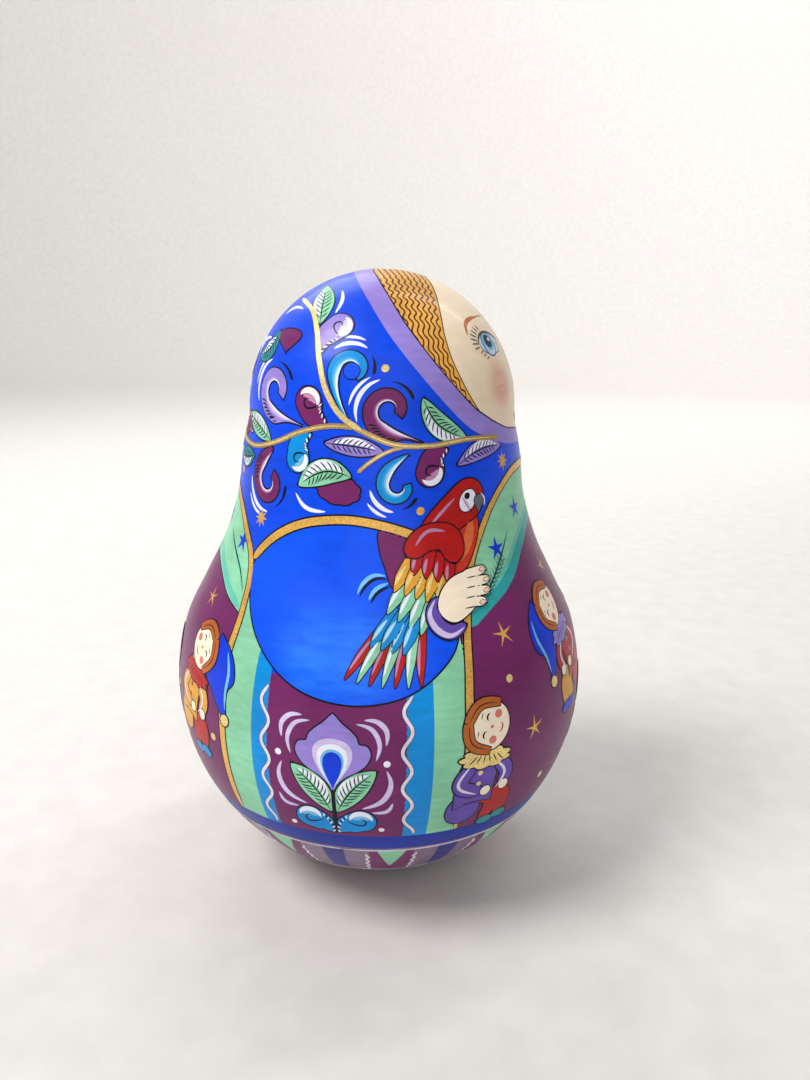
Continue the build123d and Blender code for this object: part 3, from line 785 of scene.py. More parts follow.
def tulip():
    """Flower of the lower side panel, each half drawn about its own middle line."""
    panel = patch(90.0, 45.0)
    middle = -0.4
    for edge in (15.3, -15.9):
        waves = [(edge + 1.0 * math.sin(2.0 * math.pi * y / 8.8), y) for y in np.arange(-16.2, 19.0, 1.0)]
        film(panel, ribbon(waves, 1.0, step=0.6), "ink", 3)
        film(panel, ribbon(waves, 0.75, step=0.6), "pearl", 4)
    half = [(0.6, 14.2), (1.9, 12.8), (3.9, 11.2), (5.2, 9.7), (5.6, 8.4), (7.2, 8.1), (8.1, 6.4), (7.4, 4.2),
            (5.4, 2.2), (3.0, 0.8), (1.0, -1.2)]
    whole = [(middle + x, y) for x, y in half] + [(middle, -3.0)]
    whole += [(middle - x, y) for x, y in reversed(half)]
    mark(panel, np.vstack([curve(whole, 0.6), [(middle, 14.7)]]), "lilac", 4)
    heart = (("lilac_pale", 9.4, 9.6), ("white", 8.2, 7.4), ("sky", 7.0, 5.6), ("cobalt", 6.4, 4.6))
    for level, (colour, top, width) in enumerate(heart, 6):
        film(panel, teardrop((middle, top), (middle, -2.7), width), colour, level)
    stroke(panel, [(middle, -2.6), (middle, -9.0), (middle, -16.0)], 0.9, "ink", 7, even)
    for side in (-1.0, 1.0):
        def flipped(points):
            return [(middle + side * x, y) for x, y in points]

        base, bend, tip = flipped([(0.6, -8.8), (3.6, -3.2), (9.2, 2.4)])
        leaf(panel, base, bend, tip, 5.6, "mint", 4, lit=int(side))
        tip, bend, centre = flipped([(0.4, -15.6), (2.4, -13.2), (5.6, -11.4)])
        ball(panel, tip, bend, centre, 3.2, ("cyan", "sky"), 90.0)
        for points, width in (([(6.6, 13.7), (9.3, 13.4), (11.2, 11.6), (11.3, 8.2)], 1.1),
                              ([(4.9, 12.8), (8.2, 11.8), (9.9, 8.6), (9.2, 4.8)], 1.0),
                              ([(11.4, 2.6), (12.3, -0.4), (10.6, -5.0), (6.0, -7.5)], 1.2),
                              ([(12.6, -5.8), (11.5, -8.0), (8.0, -8.6)], 0.9)):
            stroke(panel, flipped(points), width, "lilac_pale", 4)
    dots = (((-12.6, 4.6), 0.75), ((11.1, 4.1), 0.75), ((-10.2, -14.3), 0.65), ((9.4, -14.1), 0.65))
    for place, radius in dots:
        film(panel, ring(place, radius), "white", 4)


# ---------------------------------------------------------------- bird and hand
def feather(root, tip, width, colour, level):
    """One lance-shaped feather with a pale streak down its left side."""
    root, tip = np.array(root), np.array(tip)
    ahead = (tip - root) / np.linalg.norm(tip - root)
    left = np.array([ahead[1], -ahead[0]])
    middle = 0.5 * (root + tip) + 0.12 * left
    mark(sleeve, ribbon([root, middle, tip], [0.7 * width, width, width, 0.7 * width, 0.15]), colour, level,
         ink=0.22)
    pale = {"red": "rose", "ochre": "gold_pale", "mint": "white", "cyan": "sky_pale"}[colour]
    streak = [root + 0.3 * (tip - root), middle, root + 0.86 * (tip - root)]
    stroke(sleeve, [place + 0.22 * width * left for place in streak], 0.3 * width, pale, level + 2)


def feather_row(root, step, count, length, turn, spread, width, colours, level):
    """Evenly spread feathers, each a step along from the last one."""
    for i in range(count):
        at = np.array(root) + i * np.array(step)
        tip = polar(at, length, turn + spread * i)
        feather(at, tip, width, colours[i % len(colours)], level + 2 * (i % 2))


def bird():
    """Red bird on the hand: round head, breast, layered wing and long tail."""
    level = 10
    feather_row((9.2, 2.6), (1.25, 0.1), 7, 14.0, 238.0, 6.0, 2.0, ("red", "mint"), level)
    feather_row((11.4, 5.4), (1.6, -0.2), 4, 9.4, 238.0, 5.0, 2.6, ("cyan",), level + 4)
    mark(sleeve, ribbon([(20.0, 12.0), (23.4, 18.0), (25.2, 26.0)], 9.6, bean), "scarlet", level + 4)
    film(sleeve, ribbon([(27.0, 24.0), (26.6, 19.6), (24.8, 14.6)], 2.6, leaf_shape), "salmon", level + 6)
    neck = ribbon([(15.6, 19.8), (20.4, 23.8), (25.4, 27.4)], [3.0, 7.4, 9.0])
    head = ring((26.0, 27.8), 4.5)
    for outline in (neck, head):
        film(sleeve, grow(outline, INK), "ink", level + 6)
    for outline in (neck, head):
        film(sleeve, outline, "red", level + 7)
    feather_row((13.4, 12.4), (1.9, -1.3), 4, 9.0, 243.0, 4.0, 2.5, ("mint",), level + 7)
    feather_row((13.9, 16.8), (1.9, -0.6), 5, 8.6, 245.0, 3.5, 2.7, ("ochre",), level + 11)
    feather_row((15.2, 18.6), (2.3, -0.8), 4, 6.2, 260.0, 3.5, 2.5, ("red",), level + 15)
    wing = ribbon([(12.6, 16.4), (16.4, 20.2), (20.6, 20.2), (23.6, 14.6)], 5.6, bean)
    mark(sleeve, wing, "red", level + 20, ink=0.3)
    stroke(sleeve, [(14.0, 18.6), (16.4, 21.6), (20.6, 21.4)], 0.8, "rose", level + 23)
    stroke(sleeve, [(16.8, 22.6), (19.6, 25.6), (22.6, 28.4)], 0.7, "rose", level + 9)
    mark(sleeve, ring((26.0, 27.6), 2.5, 0.82, 60.0), "white", level + 9, ink=0.24)
    film(sleeve, ring((25.8, 28.6), 0.75), "ink", level + 11)
    mark(sleeve, teardrop((29.2, 28.6), (31.2, 24.6), 3.0), "beak", level + 11, ink=0.22)
    stroke(sleeve, [(29.6, 28.9), (30.8, 27.6), (30.9, 26.0)], 0.4, "pearl", level + 13)


def hand():
    """Cuff, palm and four fingers that rest on the bird."""
    level = 32
    cuff = ribbon([(19.8, 7.4), (18.9, 4.4), (20.6, 1.2), (23.6, -0.2), (26.6, 1.2)], 3.0, bean)
    mark(sleeve, cuff, "violet", level)
    edge = [(19.2, 7.0), (18.2, 4.2), (20.0, 0.8), (23.4, -0.9), (26.4, 0.6)]
    stroke(sleeve, edge, 1.2, "lilac_pale", level + 2)
    palm = [(20.1, 5.0), (20.3, 8.2), (22.0, 10.8), (25.2, 12.2), (28.4, 12.2), (30.2, 9.6), (29.6, 5.6),
            (27.0, 3.0), (24.2, 1.8), (21.6, 2.9)]
    palm = curve(palm, 0.7, closed=True)
    mark(sleeve, palm, "cream", level + 1)
    film(sleeve, palm * 0.86 + (3.3, 1.0), "cream", level + 4)
    for i, reach in enumerate((31.4, 32.6, 32.8, 31.8)):
        y = 12.1 - 2.15 * i
        finger = ribbon([(25.0, y - 0.5), (28.4, y - 0.1), (reach, y + 0.1 - 0.2 * i)], 1.9, bean)
        mark(sleeve, finger, "cream", level + 1 + i % 2, ink=0.26)
        nail = ring((reach - 1.1, y + 0.15 - 0.2 * i), 0.72, 0.6)
        mark(sleeve, nail, "blush_pale", level + 5, ink=0.12)
        stroke(sleeve, [(26.2, y - 1.25), (28.8, y - 1.1)], 0.25, "ink", level + 6)


# ---------------------------------------------------------------- small puppets
def puppet(angle, height, turn, size, colours, cap, flip=1.0, lean=0.0):
    """Plain rag puppet of one generic design; colours are hair, ruff, jacket, legs and shoes."""
    body = patch(angle, height, turn, size)
    head = patch(angle, height, turn + flip * lean, size)
    hair, ruff, jacket, legs, shoes = colours
    level = 8

    def put(points):
        return [(flip * x, y) for x, y in points]

    def disc(place, radius, *shape):
        return ring(put([place])[0], radius, *shape)

    def piece(chart, outline, colour, up, ink=INK):
        mark(chart, outline, colour, level + up, ink, False)

    def line(chart, points, width, colour, up):
        stroke(chart, put(points), width, colour, level + up, mirror=False)

    def spot(chart, place, radius, colour, up):
        film(chart, disc(place, radius), colour, level + up, False)

    if cap:
        hat = put([(1.0, 3.4), (7.0, 5.2), (12.8, 3.4), (17.4, 2.6)])
        piece(head, ribbon(hat, [9.0, 10.4, 5.6, 1.4]), cap, 0)
        line(head, [(4.0, 9.2), (8.8, 8.4), (13.0, 5.6), (16.6, 3.6)], 0.9, "sky", 2)
        piece(head, disc((18.6, 2.2), 1.4), "gold_pale", 1)
    piece(body, disc((-3.4, -20.4), 4.0, 1.1), jacket, 0)
    for hip, knee, foot in (((-2.0, -17.0), (3.2, -18.6), (2.8, -25.5)),
                            ((1.4, -17.0), (6.6, -18.0), (6.6, -24.5))):
        piece(body, ribbon(put([hip, knee, foot]), 3.6, bean), legs, 0)
        piece(body, disc((foot[0] + 1.2, foot[1] - 0.4), 2.1, 0.62), shoes, 2)
    trunk = ribbon(put([(0.0, -5.6), (-1.6, -11.0), (-1.4, -19.4)]), [5.0, 9.0, 9.6, 9.4, 5.0])
    piece(body, trunk, jacket, 3)
    for upper, elbow, wrist in (((-3.0, -8.4), (-5.6, -13.4), (0.2, -15.8)),
                                ((2.6, -8.2), (6.0, -11.8), (5.0, -15.2))):
        piece(body, ribbon(put([upper, elbow, wrist]), 3.5, bean), jacket, 5)
        lit = [(upper[0] - 0.6, upper[1]), (elbow[0] - 0.5, elbow[1]), (wrist[0] - 1.2, wrist[1] - 0.6)]
        line(body, lit, 0.7, "pearl", 7)
        piece(body, disc((wrist[0] + 0.9, wrist[1]), 1.3), "cream", 7, ink=0.24)
    for y in (-10.8, -13.6):
        spot(body, (-1.1, y), 0.6, ruff, 5)
    piece(body, disc((-0.2, -7.2), 5.4, 0.38, 0.0, 9, 0.24), ruff, 7)
    for i in range(6):
        x = -4.0 + 1.6 * i
        line(body, [(0.6 * x, -6.4), (1.1 * x, -8.4)], 0.3, "ink", 9)
    piece(head, disc((0.0, 0.0), 5.5, 0.94), "cream", 9)
    for side in (-1.0, 1.0):
        lock = ribbon(put([(0.0, 5.4), (side * 4.2, 3.6), (side * 5.4, -1.6)]), [0.8, 2.4, 2.2, 0.5])
        piece(head, lock, hair, 11, ink=0.24)
        line(head, [(0.0, 5.2), (side * 4.1, 3.4), (side * 5.2, -1.0)], 0.25, "ink", 13)
        line(head, curl((side * 2.0, 0.2), 0.95, 0.95, 20.0, 160.0, 5), 0.45, "ink", 11)
        line(head, [(side * 1.2, 2.5), (side * 2.8, 2.4)], 0.25, "umber", 11)
        spot(head, (side * 2.9, -1.6), 0.95, "blush", 11)
    line(head, curl((0.0, -1.9), 1.5, 1.5, 215.0, 325.0, 5), 0.4, "lip", 12)
    spot(head, (0.0, -0.6), 0.4, "blush", 12)


def puppets():
    """The same puppet in several sizes and colours; the two sides of the doll differ."""
    for side in (1.0, -1.0):
        first = side > 0
        seated = ("auburn", "gold_pale", "violet" if first else "mint", "red", "teal")
        puppet(52.0 * side, 55.0, -3.0 * side, 1.0, seated, None, side, 78.0)
        ochre_jacket = ("auburn", "red" if first else "gold_pale", "ochre", "red", "cyan")
        puppet(134.0 * side, 66.0, -12.0 * side, 0.95, ochre_jacket, "cobalt", side, -45.0)
        caped = ("auburn", "lilac", "red" if first else "teal", "ochre", "cobalt")
        puppet(19.5 * side, 74.5, 16.0 * side, 0.95, caped, "cobalt" if first else "red", -side, -58.0)
        dancer = ("umber", "lilac_pale", "teal" if first else "salmon", "violet", "red")
        puppet(161.0 * side, 58.0, -8.0 * side, 0.95, dancer, None, side, 40.0)
    puppet(0.0, 50.0, 0.0, 0.85, ("hair", "gold_pale", "cyan", "mint", "red"), None)


def plum_touches():
    """Thin gold stars and dots scattered on the plum fields."""
    stars = ((43.7, 72.8, 3.0), (36.8, 51.0, 3.0), (141.0, 75.6, 2.6), (10.0, 82.0, 2.4), (172.0, 76.0, 2.6),
             (147.0, 41.0, 2.6), (12.0, 38.0, 2.4))
    for angle, height, radius in stars:
        film(patch(angle, height, 8.0), star((0.0, 0.0), radius, 5, 0.2), "gold", 4)
    for angle, height in ((45.0, 64.0), (29.0, 36.0), (126.5, 47.0), (152.0, 52.0), (168.0, 38.0)):
        film(patch(angle, height), ring((0.0, 0.0), 0.9), "gold_pale", 4)


# ---------------------------------------------------------------- base
REPEATS = 10
PITCH = FULL_TURN / REPEATS
FIRST_REPEAT = 75.3
STRIP_BOTTOM = 11.5


def wedge(centre, half_bottom, half_top, bottom, top):
    """Wedge of the base strip."""
    return four_sided([(centre + half_bottom, bottom), (centre - half_bottom, bottom),
                       (centre - half_top, top), (centre + half_top, top)], 1.2)


def base_strip():
    """Wedges, zigzag lines and the two pale edge lines of the base."""
    top = SEAM_HEIGHT - 0.25

    def lay(outline, colour, level):
        film(wrap, outline, colour, level, False, base_films)

    for i in range(REPEATS):
        centre = FIRST_REPEAT + PITCH * i
        lay(wedge(centre, 7.2, 7.0, STRIP_BOTTOM, top), "plum", 1)
        lay(wedge(centre, 0.4, 4.6, 15.6, top), "mint", 2)
        lay(wedge(centre + PITCH / 2, 2.8, 3.4, 13.2, top - 0.5), "indigo", 1)
        for side in (-1.0, 1.0):
            zigzag = wrapped([(centre + side * (7.6 + 0.55 * (-1) ** k), STRIP_BOTTOM + 0.8 + 1.15 * k)
                              for k in range(10)])
            line = np.vstack([even_steps(np.array([a, b]), 0.5)[:-1] for a, b in zip(zigzag, zigzag[1:])])
            lay(ribbon(line[::2], 0.75, step=0.5), "pearl", 3)
    for height, width in ((top - 0.2, 0.5), (STRIP_BOTTOM, 0.7)):
        for turn in (0.0, 90.0, 180.0, 270.0):
            quarter = wrapped([(turn + 30.0 * k, height) for k in range(4)])
            lay(ribbon(quarter, width, step=1.2), "pearl", 4)


# ---------------------------------------------------------------- draw everything
head_fields()
face()
vine()
hood_scrolls()
hood_balls()
hood_leaves()
hood_touches()
back_spray()
lower_fields()
shawl()
azure_sleeve()
tulip()
bird()
hand()
plum_touches()
puppets()
base_strip()


# ---------------------------------------------------------------- materials
def linear(colour):
    """Linear colour of an sRGB triple given in 0 to 255."""
    out = []
    for value in colour:
        value /= 255.0
        out.append(value / 12.92 if value <= 0.04045 else ((value + 0.055) / 1.055) ** 2.4)
    return (*out, 1.0)


def shade(colour, by):
    """The sRGB colour made lighter (by > 1) or darker."""
    return tuple(min(255.0, value * by) for value in colour)


class Look:
    """A procedural material under construction; its textures use the object's own coordinates."""

    def __init__(self, name):
        self.material = bpy.data.materials.new(name)
        self.material.use_nodes = True
        self.tree = self.material.node_tree
        self.shader = next(n for n in self.tree.nodes if n.type == "BSDF_PRINCIPLED")

    def fill(self, node, values):
        """Sets a node's inputs by name, each to a value or to another node's output."""
        for name, value in values.items():
            if isinstance(value, bpy.types.NodeSocket):
                self.tree.links.new(value, node.inputs[name])
            else:
                node.inputs[name].default_value = value

    def add(self, kind, values=None, **settings):
        node = self.tree.nodes.new(kind)
        for name, value in settings.items():
            setattr(node, name, value)
        self.fill(node, values or {})
        return node

    def place(self):
        return self.add("ShaderNodeTexCoord").outputs["Object"]

    def noise(self, scale, stretch=(1.0, 1.0, 1.0), detail=3.0):
        """Noise with a scale in cells per metre."""
        mapped = self.add("ShaderNodeMapping", {"Vector": self.place(), "Scale": stretch}).outputs["Vector"]
        values = {"Vector": mapped, "Scale": scale, "Detail": detail}
        return self.add("ShaderNodeTexNoise", values).outputs["Fac"]

    def ramp(self, factor, *stops):
        """Colour ramp; stops are (position, sRGB colour)."""
        node = self.add("ShaderNodeValToRGB", {"Fac": factor})
        for element, (position, colour) in zip(node.color_ramp.elements, stops):
            element.position = position
            element.color = linear(colour)
        return node.outputs["Color"]

    def tones(self, factor, colour, *stops):
        """Ramp between shades of one colour; stops are (position, shade)."""
        return self.ramp(factor, *[(position, shade(colour, by)) for position, by in stops])

    def mix(self, factor, first, second):
        values = {"Factor": factor, "A": first, "B": second}
        return self.add("ShaderNodeMix", values, data_type="RGBA").outputs["Result"]

    def distance(self, place, centre):
        """Distance from a centre given in millimetres."""
        node = self.add("ShaderNodeVectorMath", {0: place}, operation="DISTANCE")
        node.inputs[1].default_value = [value * MM for value in centre]
        return node.outputs["Value"]

    def finish(self, base, factor, rough, relief, values):
        """Colour, roughness range, relief (distance, strength) and the shader's own values."""
        low, high = rough
        spread = self.add("ShaderNodeMapRange", {"Value": factor, "To Min": low, "To Max": high})
        self.fill(self.shader, {"Base Color": base, "Roughness": spread.outputs["Result"], **values})
        if relief:
            distance, strength = relief
            values = {"Height": factor, "Distance": distance, "Strength": strength}
            self.fill(self.shader, {"Normal": self.add("ShaderNodeBump", values).outputs["Normal"]})
        return self.material


def paint(name, colour, spread=0.1, sheen_and_blush=None):
    """Brushed tempera under gloss lacquer, with soft and streaky colour changes.

    The last argument is (centre in millimetres, reach, sRGB colour) for a soft round patch, repeated on
    the doll's other side. On the azure sleeve it is painted sheen, a lighter streaked blue that stands
    in for a highlight; on the skin it is the cheek's blush.
    """
    look = Look(name)
    soft = look.noise(70.0)
    streaks = look.noise(260.0, (0.7, 0.7, 3.0), 4.0)
    broad = look.tones(soft, colour, (0.3, 1.0 - spread), (0.7, 1.0 + spread))
    fine = look.tones(streaks, colour, (0.3, 1.0 - 1.2 * spread), (0.72, 1.0 + 0.8 * spread))
    base = look.mix(0.45, broad, fine)
    if sheen_and_blush:
        centre, reach, lit = sheen_and_blush
        either_side = look.add("ShaderNodeVectorMath", {0: look.place()}, operation="ABSOLUTE")
        away = look.distance(either_side.outputs["Vector"], [abs(value) for value in centre])
        limits = {"Value": away, "From Min": reach * MM, "From Max": 0.15 * reach * MM}
        fade = look.add("ShaderNodeMapRange", limits, interpolation_type="SMOOTHSTEP").outputs["Result"]
        # Painted sheen: on the sleeve this streaked patch is a lighter blue standing in for a highlight; on
        # the skin it is the cheek's blush.
        sheen_and_blush_mask = look.add("ShaderNodeMath", {0: fade, 1: streaks}, operation="MULTIPLY", use_clamp=True)
        base = look.mix(sheen_and_blush_mask.outputs["Value"], base, linear(lit))
    lacquer = {"Specular IOR Level": 0.14, "Coat Weight": 0.2, "Coat Roughness": 0.14, "Coat IOR": 1.45}
    return look.finish(base, streaks, (0.34, 0.5), (0.00003, 0.35), lacquer)


def wood(name):
    """Bare turned linden: pale, with soft growth rings and fine grain along the axis."""
    look = Look(name)
    grain = look.noise(500.0, (1.0, 1.0, 0.06), 4.0)
    figure = look.noise(60.0, (1.0, 1.0, 0.15), 2.0)
    pale = look.ramp(figure, (0.35, (206, 172, 124)), (0.65, (226, 198, 154)))
    dark = look.ramp(grain, (0.4, (168, 128, 84)), (0.6, (232, 206, 164)))
    return look.finish(look.mix(0.35, pale, dark), grain, (0.6, 0.8), (0.00004, 0.5), {})


def metal(name, colour, rough, stretch):
    """Worked metal, with its brush or draw marks along one direction."""
    look = Look(name)
    marks = look.noise(700.0, stretch, 4.0)
    stain = look.noise(150.0)
    bright = look.tones(marks, colour, (0.3, 0.86), (0.7, 1.06))
    dull = look.tones(stain, colour, (0.4, 0.9), (0.7, 1.0))
    return look.finish(look.mix(0.4, bright, dull), marks, rough, (0.00002, 0.4), {"Metallic": 1.0})


def cast_iron(name):
    look = Look(name)
    grit = look.noise(1400.0, detail=5.0)
    stain = look.ramp(look.noise(120.0), (0.3, (58, 58, 60)), (0.7, (84, 82, 80)))
    return look.finish(stain, grit, (0.5, 0.75), (0.00008, 0.6), {"Metallic": 0.9})


def turned_base(name):
    """Base cap: painted on its round outside, bare linden on the spigot and in the dish."""
    look = Look(name)
    streaks = look.noise(260.0, (3.0, 3.0, 0.7), 4.0)
    grain = look.noise(500.0, (1.0, 1.0, 0.06), 4.0)
    # The painted outside is a dark lilac-plum, darkened to the tone of the base where it lies in shadow:
    # partly its own colour, partly painted shade.
    painted = look.ramp(streaks, (0.3, (104, 78, 112)), (0.7, (134, 104, 138)))
    bare = look.ramp(grain, (0.35, (196, 160, 112)), (0.65, (226, 198, 154)))
    away = look.distance(look.place(), (0.0, 0.0, BELLY_CENTRE))
    limit = (BELLY_RADIUS - 0.15) * MM
    outside = look.add("ShaderNodeMath", {0: away, 1: limit}, operation="GREATER_THAN").outputs["Value"]
    base = look.mix(outside, bare, painted)
    lacquer = {"Coat Weight": 0.4, "Coat Roughness": 0.12}
    return look.finish(base, streaks, (0.36, 0.5), (0.00003, 0.35), lacquer)


def gilding(name, colour):
    """Gold paint: fine bright flakes over a rough brushed body."""
    look = Look(name)
    flakes = look.noise(2600.0, detail=2.0)
    grain = look.tones(flakes, colour, (0.38, 0.84), (0.6, 1.16))
    broad = look.tones(look.noise(160.0), colour, (0.3, 0.86), (0.7, 1.1))
    values = {"Metallic": 0.35, "Coat Weight": 0.25, "Coat Roughness": 0.14}
    return look.finish(look.mix(0.5, grain, broad), flakes, (0.3, 0.55), (0.00008, 0.6), values)


COLOURS = {
    "ink": (10, 8, 20), "white": (232, 234, 250), "pearl": (222, 216, 232), "cream": (250, 232, 208),
    "gold": (222, 170, 78), "gold_pale": (236, 204, 130), "hair": (226, 166, 76), "umber": (84, 42, 20),
    "auburn": (182, 96, 40), "skin": (240, 220, 192), "scarlet": (200, 52, 36),
    "blush_pale": (240, 200, 186), "eye_white": (212, 216, 226), "slate": (62, 92, 128),
    "beak": (96, 100, 108), "lilac": (146, 128, 208), "lilac_pale": (206, 194, 236),
    "lilac_soft": (172, 154, 222), "violet": (98, 74, 170), "plum": (112, 36, 96),
    "plum_soft": (140, 74, 128), "rose": (184, 132, 170), "cyan_soft": (34, 160, 226),
    "sky_pale": (172, 220, 244), "old_gold": (172, 140, 82), "navy": (6, 44, 158),
    "aqua": (44, 160, 164), "aqua_pale": (96, 190, 172), "cyan": (0, 138, 216), "sky": (112, 186, 232),
    "cobalt": (0, 56, 214), "azure": (0, 80, 244), "indigo": (44, 44, 132), "teal": (30, 140, 152),
    "teal_dark": (10, 70, 84), "mint": (136, 204, 166), "red": (178, 22, 22), "salmon": (222, 108, 60),
    "ochre": (220, 158, 50), "blush": (222, 120, 108), "lip": (178, 62, 58),
}


def place_of(chart, x, y):
    """Place on the surface of one chart point, in millimetres."""
    angle, s = chart(np.array([(x, y)], float))
    return on_surface(angle, s, 0.0)[0][0]


# SHEEN is painted sheen: a lighter streaked blue patch on the sleeve that stands in for a highlight. CHEEK is
# the face's blush.
SHEEN = (place_of(sleeve, 3.0, -5.0), 15.0, (48, 136, 255))
CHEEK = (place_of(patch(20.0, 130.0), -0.5, -5.5), 7.5, (208, 96, 90))
materials = {}
for colour, value in COLOURS.items():
    sheen_and_blush = {"azure": SHEEN, "skin": CHEEK}.get(colour)
    spread = 0.04 if colour in ("ink", "white", "skin", "cream") else 0.1
    materials[colour] = paint("paint_" + colour, value, spread, sheen_and_blush)
for colour in ("gold", "gold_pale", "old_gold"):
    materials[colour] = gilding("gilding_" + colour, COLOURS[colour])
materials["hood"] = paint("paint_hood", (0, 70, 226), 0.1)
materials["wood"] = wood("turned_linden")


# ---------------------------------------------------------------- meshes
def mesh_object(name, places, faces, normals=None):
    mesh = bpy.data.meshes.new(name)
    mesh.from_pydata([tuple(p) for p in places * MM], [], faces)
    mesh.validate()
    for face_ in mesh.polygons:
        face_.use_smooth = True
    if normals is not None:
        mesh.normals_split_custom_set_from_vertices([tuple(n) for n in normals])
    item = bpy.data.objects.new(name, mesh)
    bpy.context.scene.collection.objects.link(item)
    return item


def gather(islands):
    """One set of points, normals and faces from several islands."""
    places, normals, faces, start = [], [], [], 0
    for island_places, island_normals, island_faces in islands:
        places.append(island_places)
        normals.append(island_normals)
        faces += [tuple(start + v for v in f) for f in island_faces]
        start += len(island_places)
    return np.vstack(places), np.vstack(normals), faces


def lathe(name, profile, inner_from, outside, inside):
    """Closed turned solid; profile edges from inner_from on are bare wood."""
    sides = 240
    turns = np.radians(np.arange(sides) * FULL_TURN / sides)
    places, rows = [], []
    for r, z in profile:
        if r < 1e-6:
            rows.append([len(places)] * sides)
            places.append((0.0, 0.0, z))
        else:
            rows.append(list(range(len(places), len(places) + sides)))
            places += [(r * math.sin(t), -r * math.cos(t), z) for t in turns]
    faces, slots = [], []
    for i in range(len(rows)):
        low, high = rows[i], rows[(i + 1) % len(rows)]
        for k in range(sides):
            m = (k + 1) % sides
            corners = []
            for v in (low[k], low[m], high[m], high[k]):
                if v not in corners:
                    corners.append(v)
            if len(corners) > 2:
                faces.append(tuple(corners))
                slots.append(int(i >= inner_from))
    item = mesh_object(name, np.array(places), faces)
    item.data.set_sharp_from_angle(angle=math.radians(35.0))
    item.data.materials.append(outside)
    item.data.materials.append(inside)
    for face_, number in zip(item.data.polygons, slots):
        face_.material_index = number
    return item


INNER_BELLY = BELLY_RADIUS - WALL
INNER_HEAD = HEAD_RADIUS - UPPER_WALL
BORE = SPIGOT_RADIUS + SPIGOT_FIT
seam_angle = angle_at(BELLY_RADIUS, SEAM_HEIGHT + SEAM_EDGE)
body_outer = chain(
    arc(BELLY_RADIUS, BELLY_CENTRE, seam_angle, angle_at(BELLY_RADIUS, SHOULDER_START), PROFILE_STEP),
    shoulder(BELLY_RADIUS, 0.0, HEAD_RADIUS, PROFILE_STEP),
    arc(HEAD_RADIUS, HEAD_CENTRE, 90.0, 180.0, PROFILE_STEP),
)
body_outer[-1, 0] = 0.0
inner_top, inner_foot = angle_at(INNER_BELLY, SHOULDER_START), angle_at(INNER_BELLY, SPIGOT_TOP)
body_inner = chain(
    arc(INNER_HEAD, HEAD_CENTRE, 180.0, 90.0, INNER_STEP),
    shoulder(INNER_BELLY, UPPER_WALL, INNER_HEAD, INNER_STEP)[::-1],
    arc(INNER_BELLY, BELLY_CENTRE, inner_top, inner_foot, INNER_STEP),
)
body_inner[0, 0] = 0.0
body_foot = np.array([(BORE, SPIGOT_TOP), (BORE, SEAM_HEIGHT), (body_outer[0, 0] - SEAM_EDGE, SEAM_HEIGHT)])
body_profile = np.vstack([body_outer, body_inner, body_foot])
bare_from = len(body_outer) - 1
painted_body = lathe("painted_body", body_profile, bare_from, materials["hood"], materials["wood"])
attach(painted_body, "doll")
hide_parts("body_shell")

PAINTED = ((films, "paint_", "painted_body"), (base_films, "base_paint_", "painted_base"))
for sheets, prefix, slot in PAINTED:
    for colour, islands in sheets.items():
        places, normals, faces = gather(islands)
        item = mesh_object(prefix + colour, places, faces, normals)
        item.data.materials.append(materials[colour])
        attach(item, "doll")

# ---------------------------------------------------------------- inner pieces
# colour, roughness range and stretch of the brush marks
METALS = {
    "screw_steel": ((172, 170, 164), (0.25, 0.42), (1.0, 1.0, 1.0)),
    "bridge_steel": ((150, 152, 156), (0.28, 0.45), (1.0, 1.0, 0.1)),
    "wire_steel": ((178, 178, 178), (0.2, 0.36), (1.0, 1.0, 0.2)),
    "rod_steel": ((192, 194, 198), (0.12, 0.24), (1.0, 1.0, 0.05)),
    "chime_brass": ((206, 162, 82), (0.2, 0.36), (0.2, 1.0, 1.0)),
    "bob_brass": ((212, 170, 88), (0.14, 0.28), (1.0, 1.0, 0.2)),
}
inner_materials = {name: metal(name, *values) for name, values in METALS.items()}
inner_materials["ballast_iron"] = cast_iron("ballast_iron")
inner_materials["painted_base"] = turned_base("painted_base")
for part in frame["record"]["subparts"]:
    node = frame["nodes"][part["node"]]
    if part["node"] != "body_shell":
        node.data.materials.clear()
        node.data.materials.append(inner_materials[part["material_slot"]])


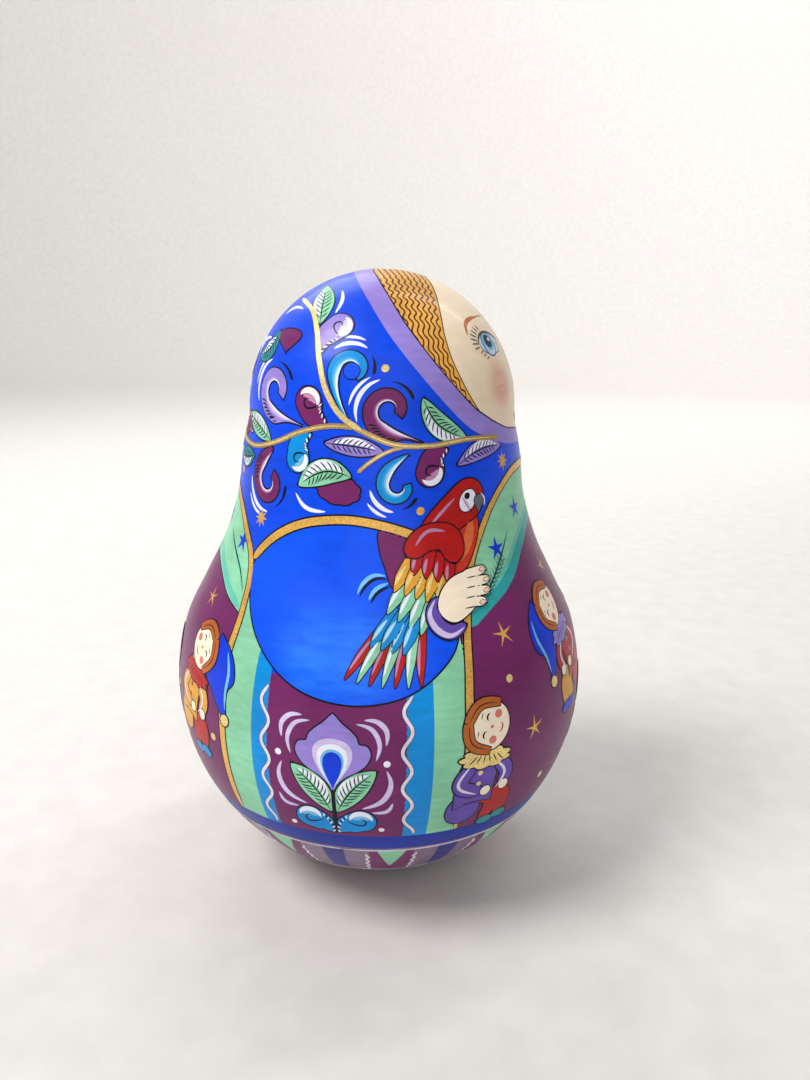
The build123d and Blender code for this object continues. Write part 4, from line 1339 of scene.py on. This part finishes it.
# ---------------------------------------------------------------- floor, light and camera
def stage_floor():
    """Pale round floor that curves up into a plain wall all round."""
    flat, bend, rise, sides, steps = 1.7, 0.9, 2.0, 96, 16
    rows = [(flat * i / 4.0, 0.0) for i in range(1, 4)]
    for i in range(steps + 1):
        angle = 0.5 * math.pi * i / steps
        rows.append((flat + bend * math.sin(angle), bend - bend * math.cos(angle)))
    rows.append((flat + bend, rise))
    turns = [2.0 * math.pi * k / sides for k in range(sides)]
    places = [(0.0, 0.0, 0.0)] + [(r * math.cos(t), r * math.sin(t), z) for r, z in rows for t in turns]
    faces = [(0, 1 + k, 1 + (k + 1) % sides) for k in range(sides)]
    for i in range(len(rows) - 1):
        for k in range(sides):
            low, high, ahead = 1 + i * sides, 1 + (i + 1) * sides, (k + 1) % sides
            faces.append((low + k, high + k, high + ahead, low + ahead))
    floor = mesh_object("floor", np.array(places) / MM, faces)
    look = Look("floor_paper")
    fibre = look.noise(90.0, detail=5.0)
    base = look.ramp(fibre, (0.3, (214, 211, 206)), (0.7, (222, 219, 214)))
    floor.data.materials.append(look.finish(base, fibre, (0.6, 0.8), None, {}))


def softbox(name, place, aim, size, power, tint):
    data = bpy.data.lights.new(name, "AREA")
    data.shape = "DISK"
    data.size = size
    data.energy = power
    data.color = tint
    item = bpy.data.objects.new(name, data)
    item.location = place
    item.rotation_euler = (Vector(aim) - Vector(place)).to_track_quat("-Z", "Y").to_euler()
    bpy.context.scene.collection.objects.link(item)


stage_floor()
AIM = (0.0, 0.0, 0.075)
softbox("key", (-0.45, 0.55, 0.95), AIM, 0.5, 10.5, (1.0, 0.98, 0.95))
softbox("fill", (-0.9, -0.2, 0.5), AIM, 1.0, 2.5, (0.96, 0.98, 1.0))
softbox("wall", (0.9, -0.6, 1.6), (2.2, 0.35, 0.9), 1.4, 40.0, (1.0, 1.0, 1.0))
softbox("rim", (0.6, 0.4, 0.8), AIM, 0.6, 2.5, (1.0, 1.0, 1.0))
world = bpy.data.worlds.new("soft_world")
world.use_nodes = True
background = next(n for n in world.node_tree.nodes if n.type == "BACKGROUND")
background.inputs["Color"].default_value = (0.92, 0.94, 1.0, 1.0)
background.inputs["Strength"].default_value = 0.32
bpy.context.scene.world = world
bpy.context.scene.view_settings.view_transform = "Standard"

CAMERA_PLACE = Vector((-0.21072, -0.03948, 0.1381))
CAMERA_AHEAD = Vector((0.95793, 0.15172, -0.24362)).normalized()
CAMERA_ROLL = math.radians(0.956)
LENS = 29.0
right = CAMERA_AHEAD.cross(Vector((0.0, 0.0, 1.0))).normalized()
up = right.cross(CAMERA_AHEAD)
camera_right = right * math.cos(CAMERA_ROLL) + up * math.sin(CAMERA_ROLL)
camera_up = up * math.cos(CAMERA_ROLL) - right * math.sin(CAMERA_ROLL)
camera_data = bpy.data.cameras.new("camera")
camera_data.lens = LENS
camera = bpy.data.objects.new("camera", camera_data)
axes = Matrix((camera_right, camera_up, -CAMERA_AHEAD)).transposed()
camera.matrix_world = Matrix.Translation(CAMERA_PLACE) @ axes.to_4x4()
bpy.context.scene.collection.objects.link(camera)
bpy.context.scene.camera = camera
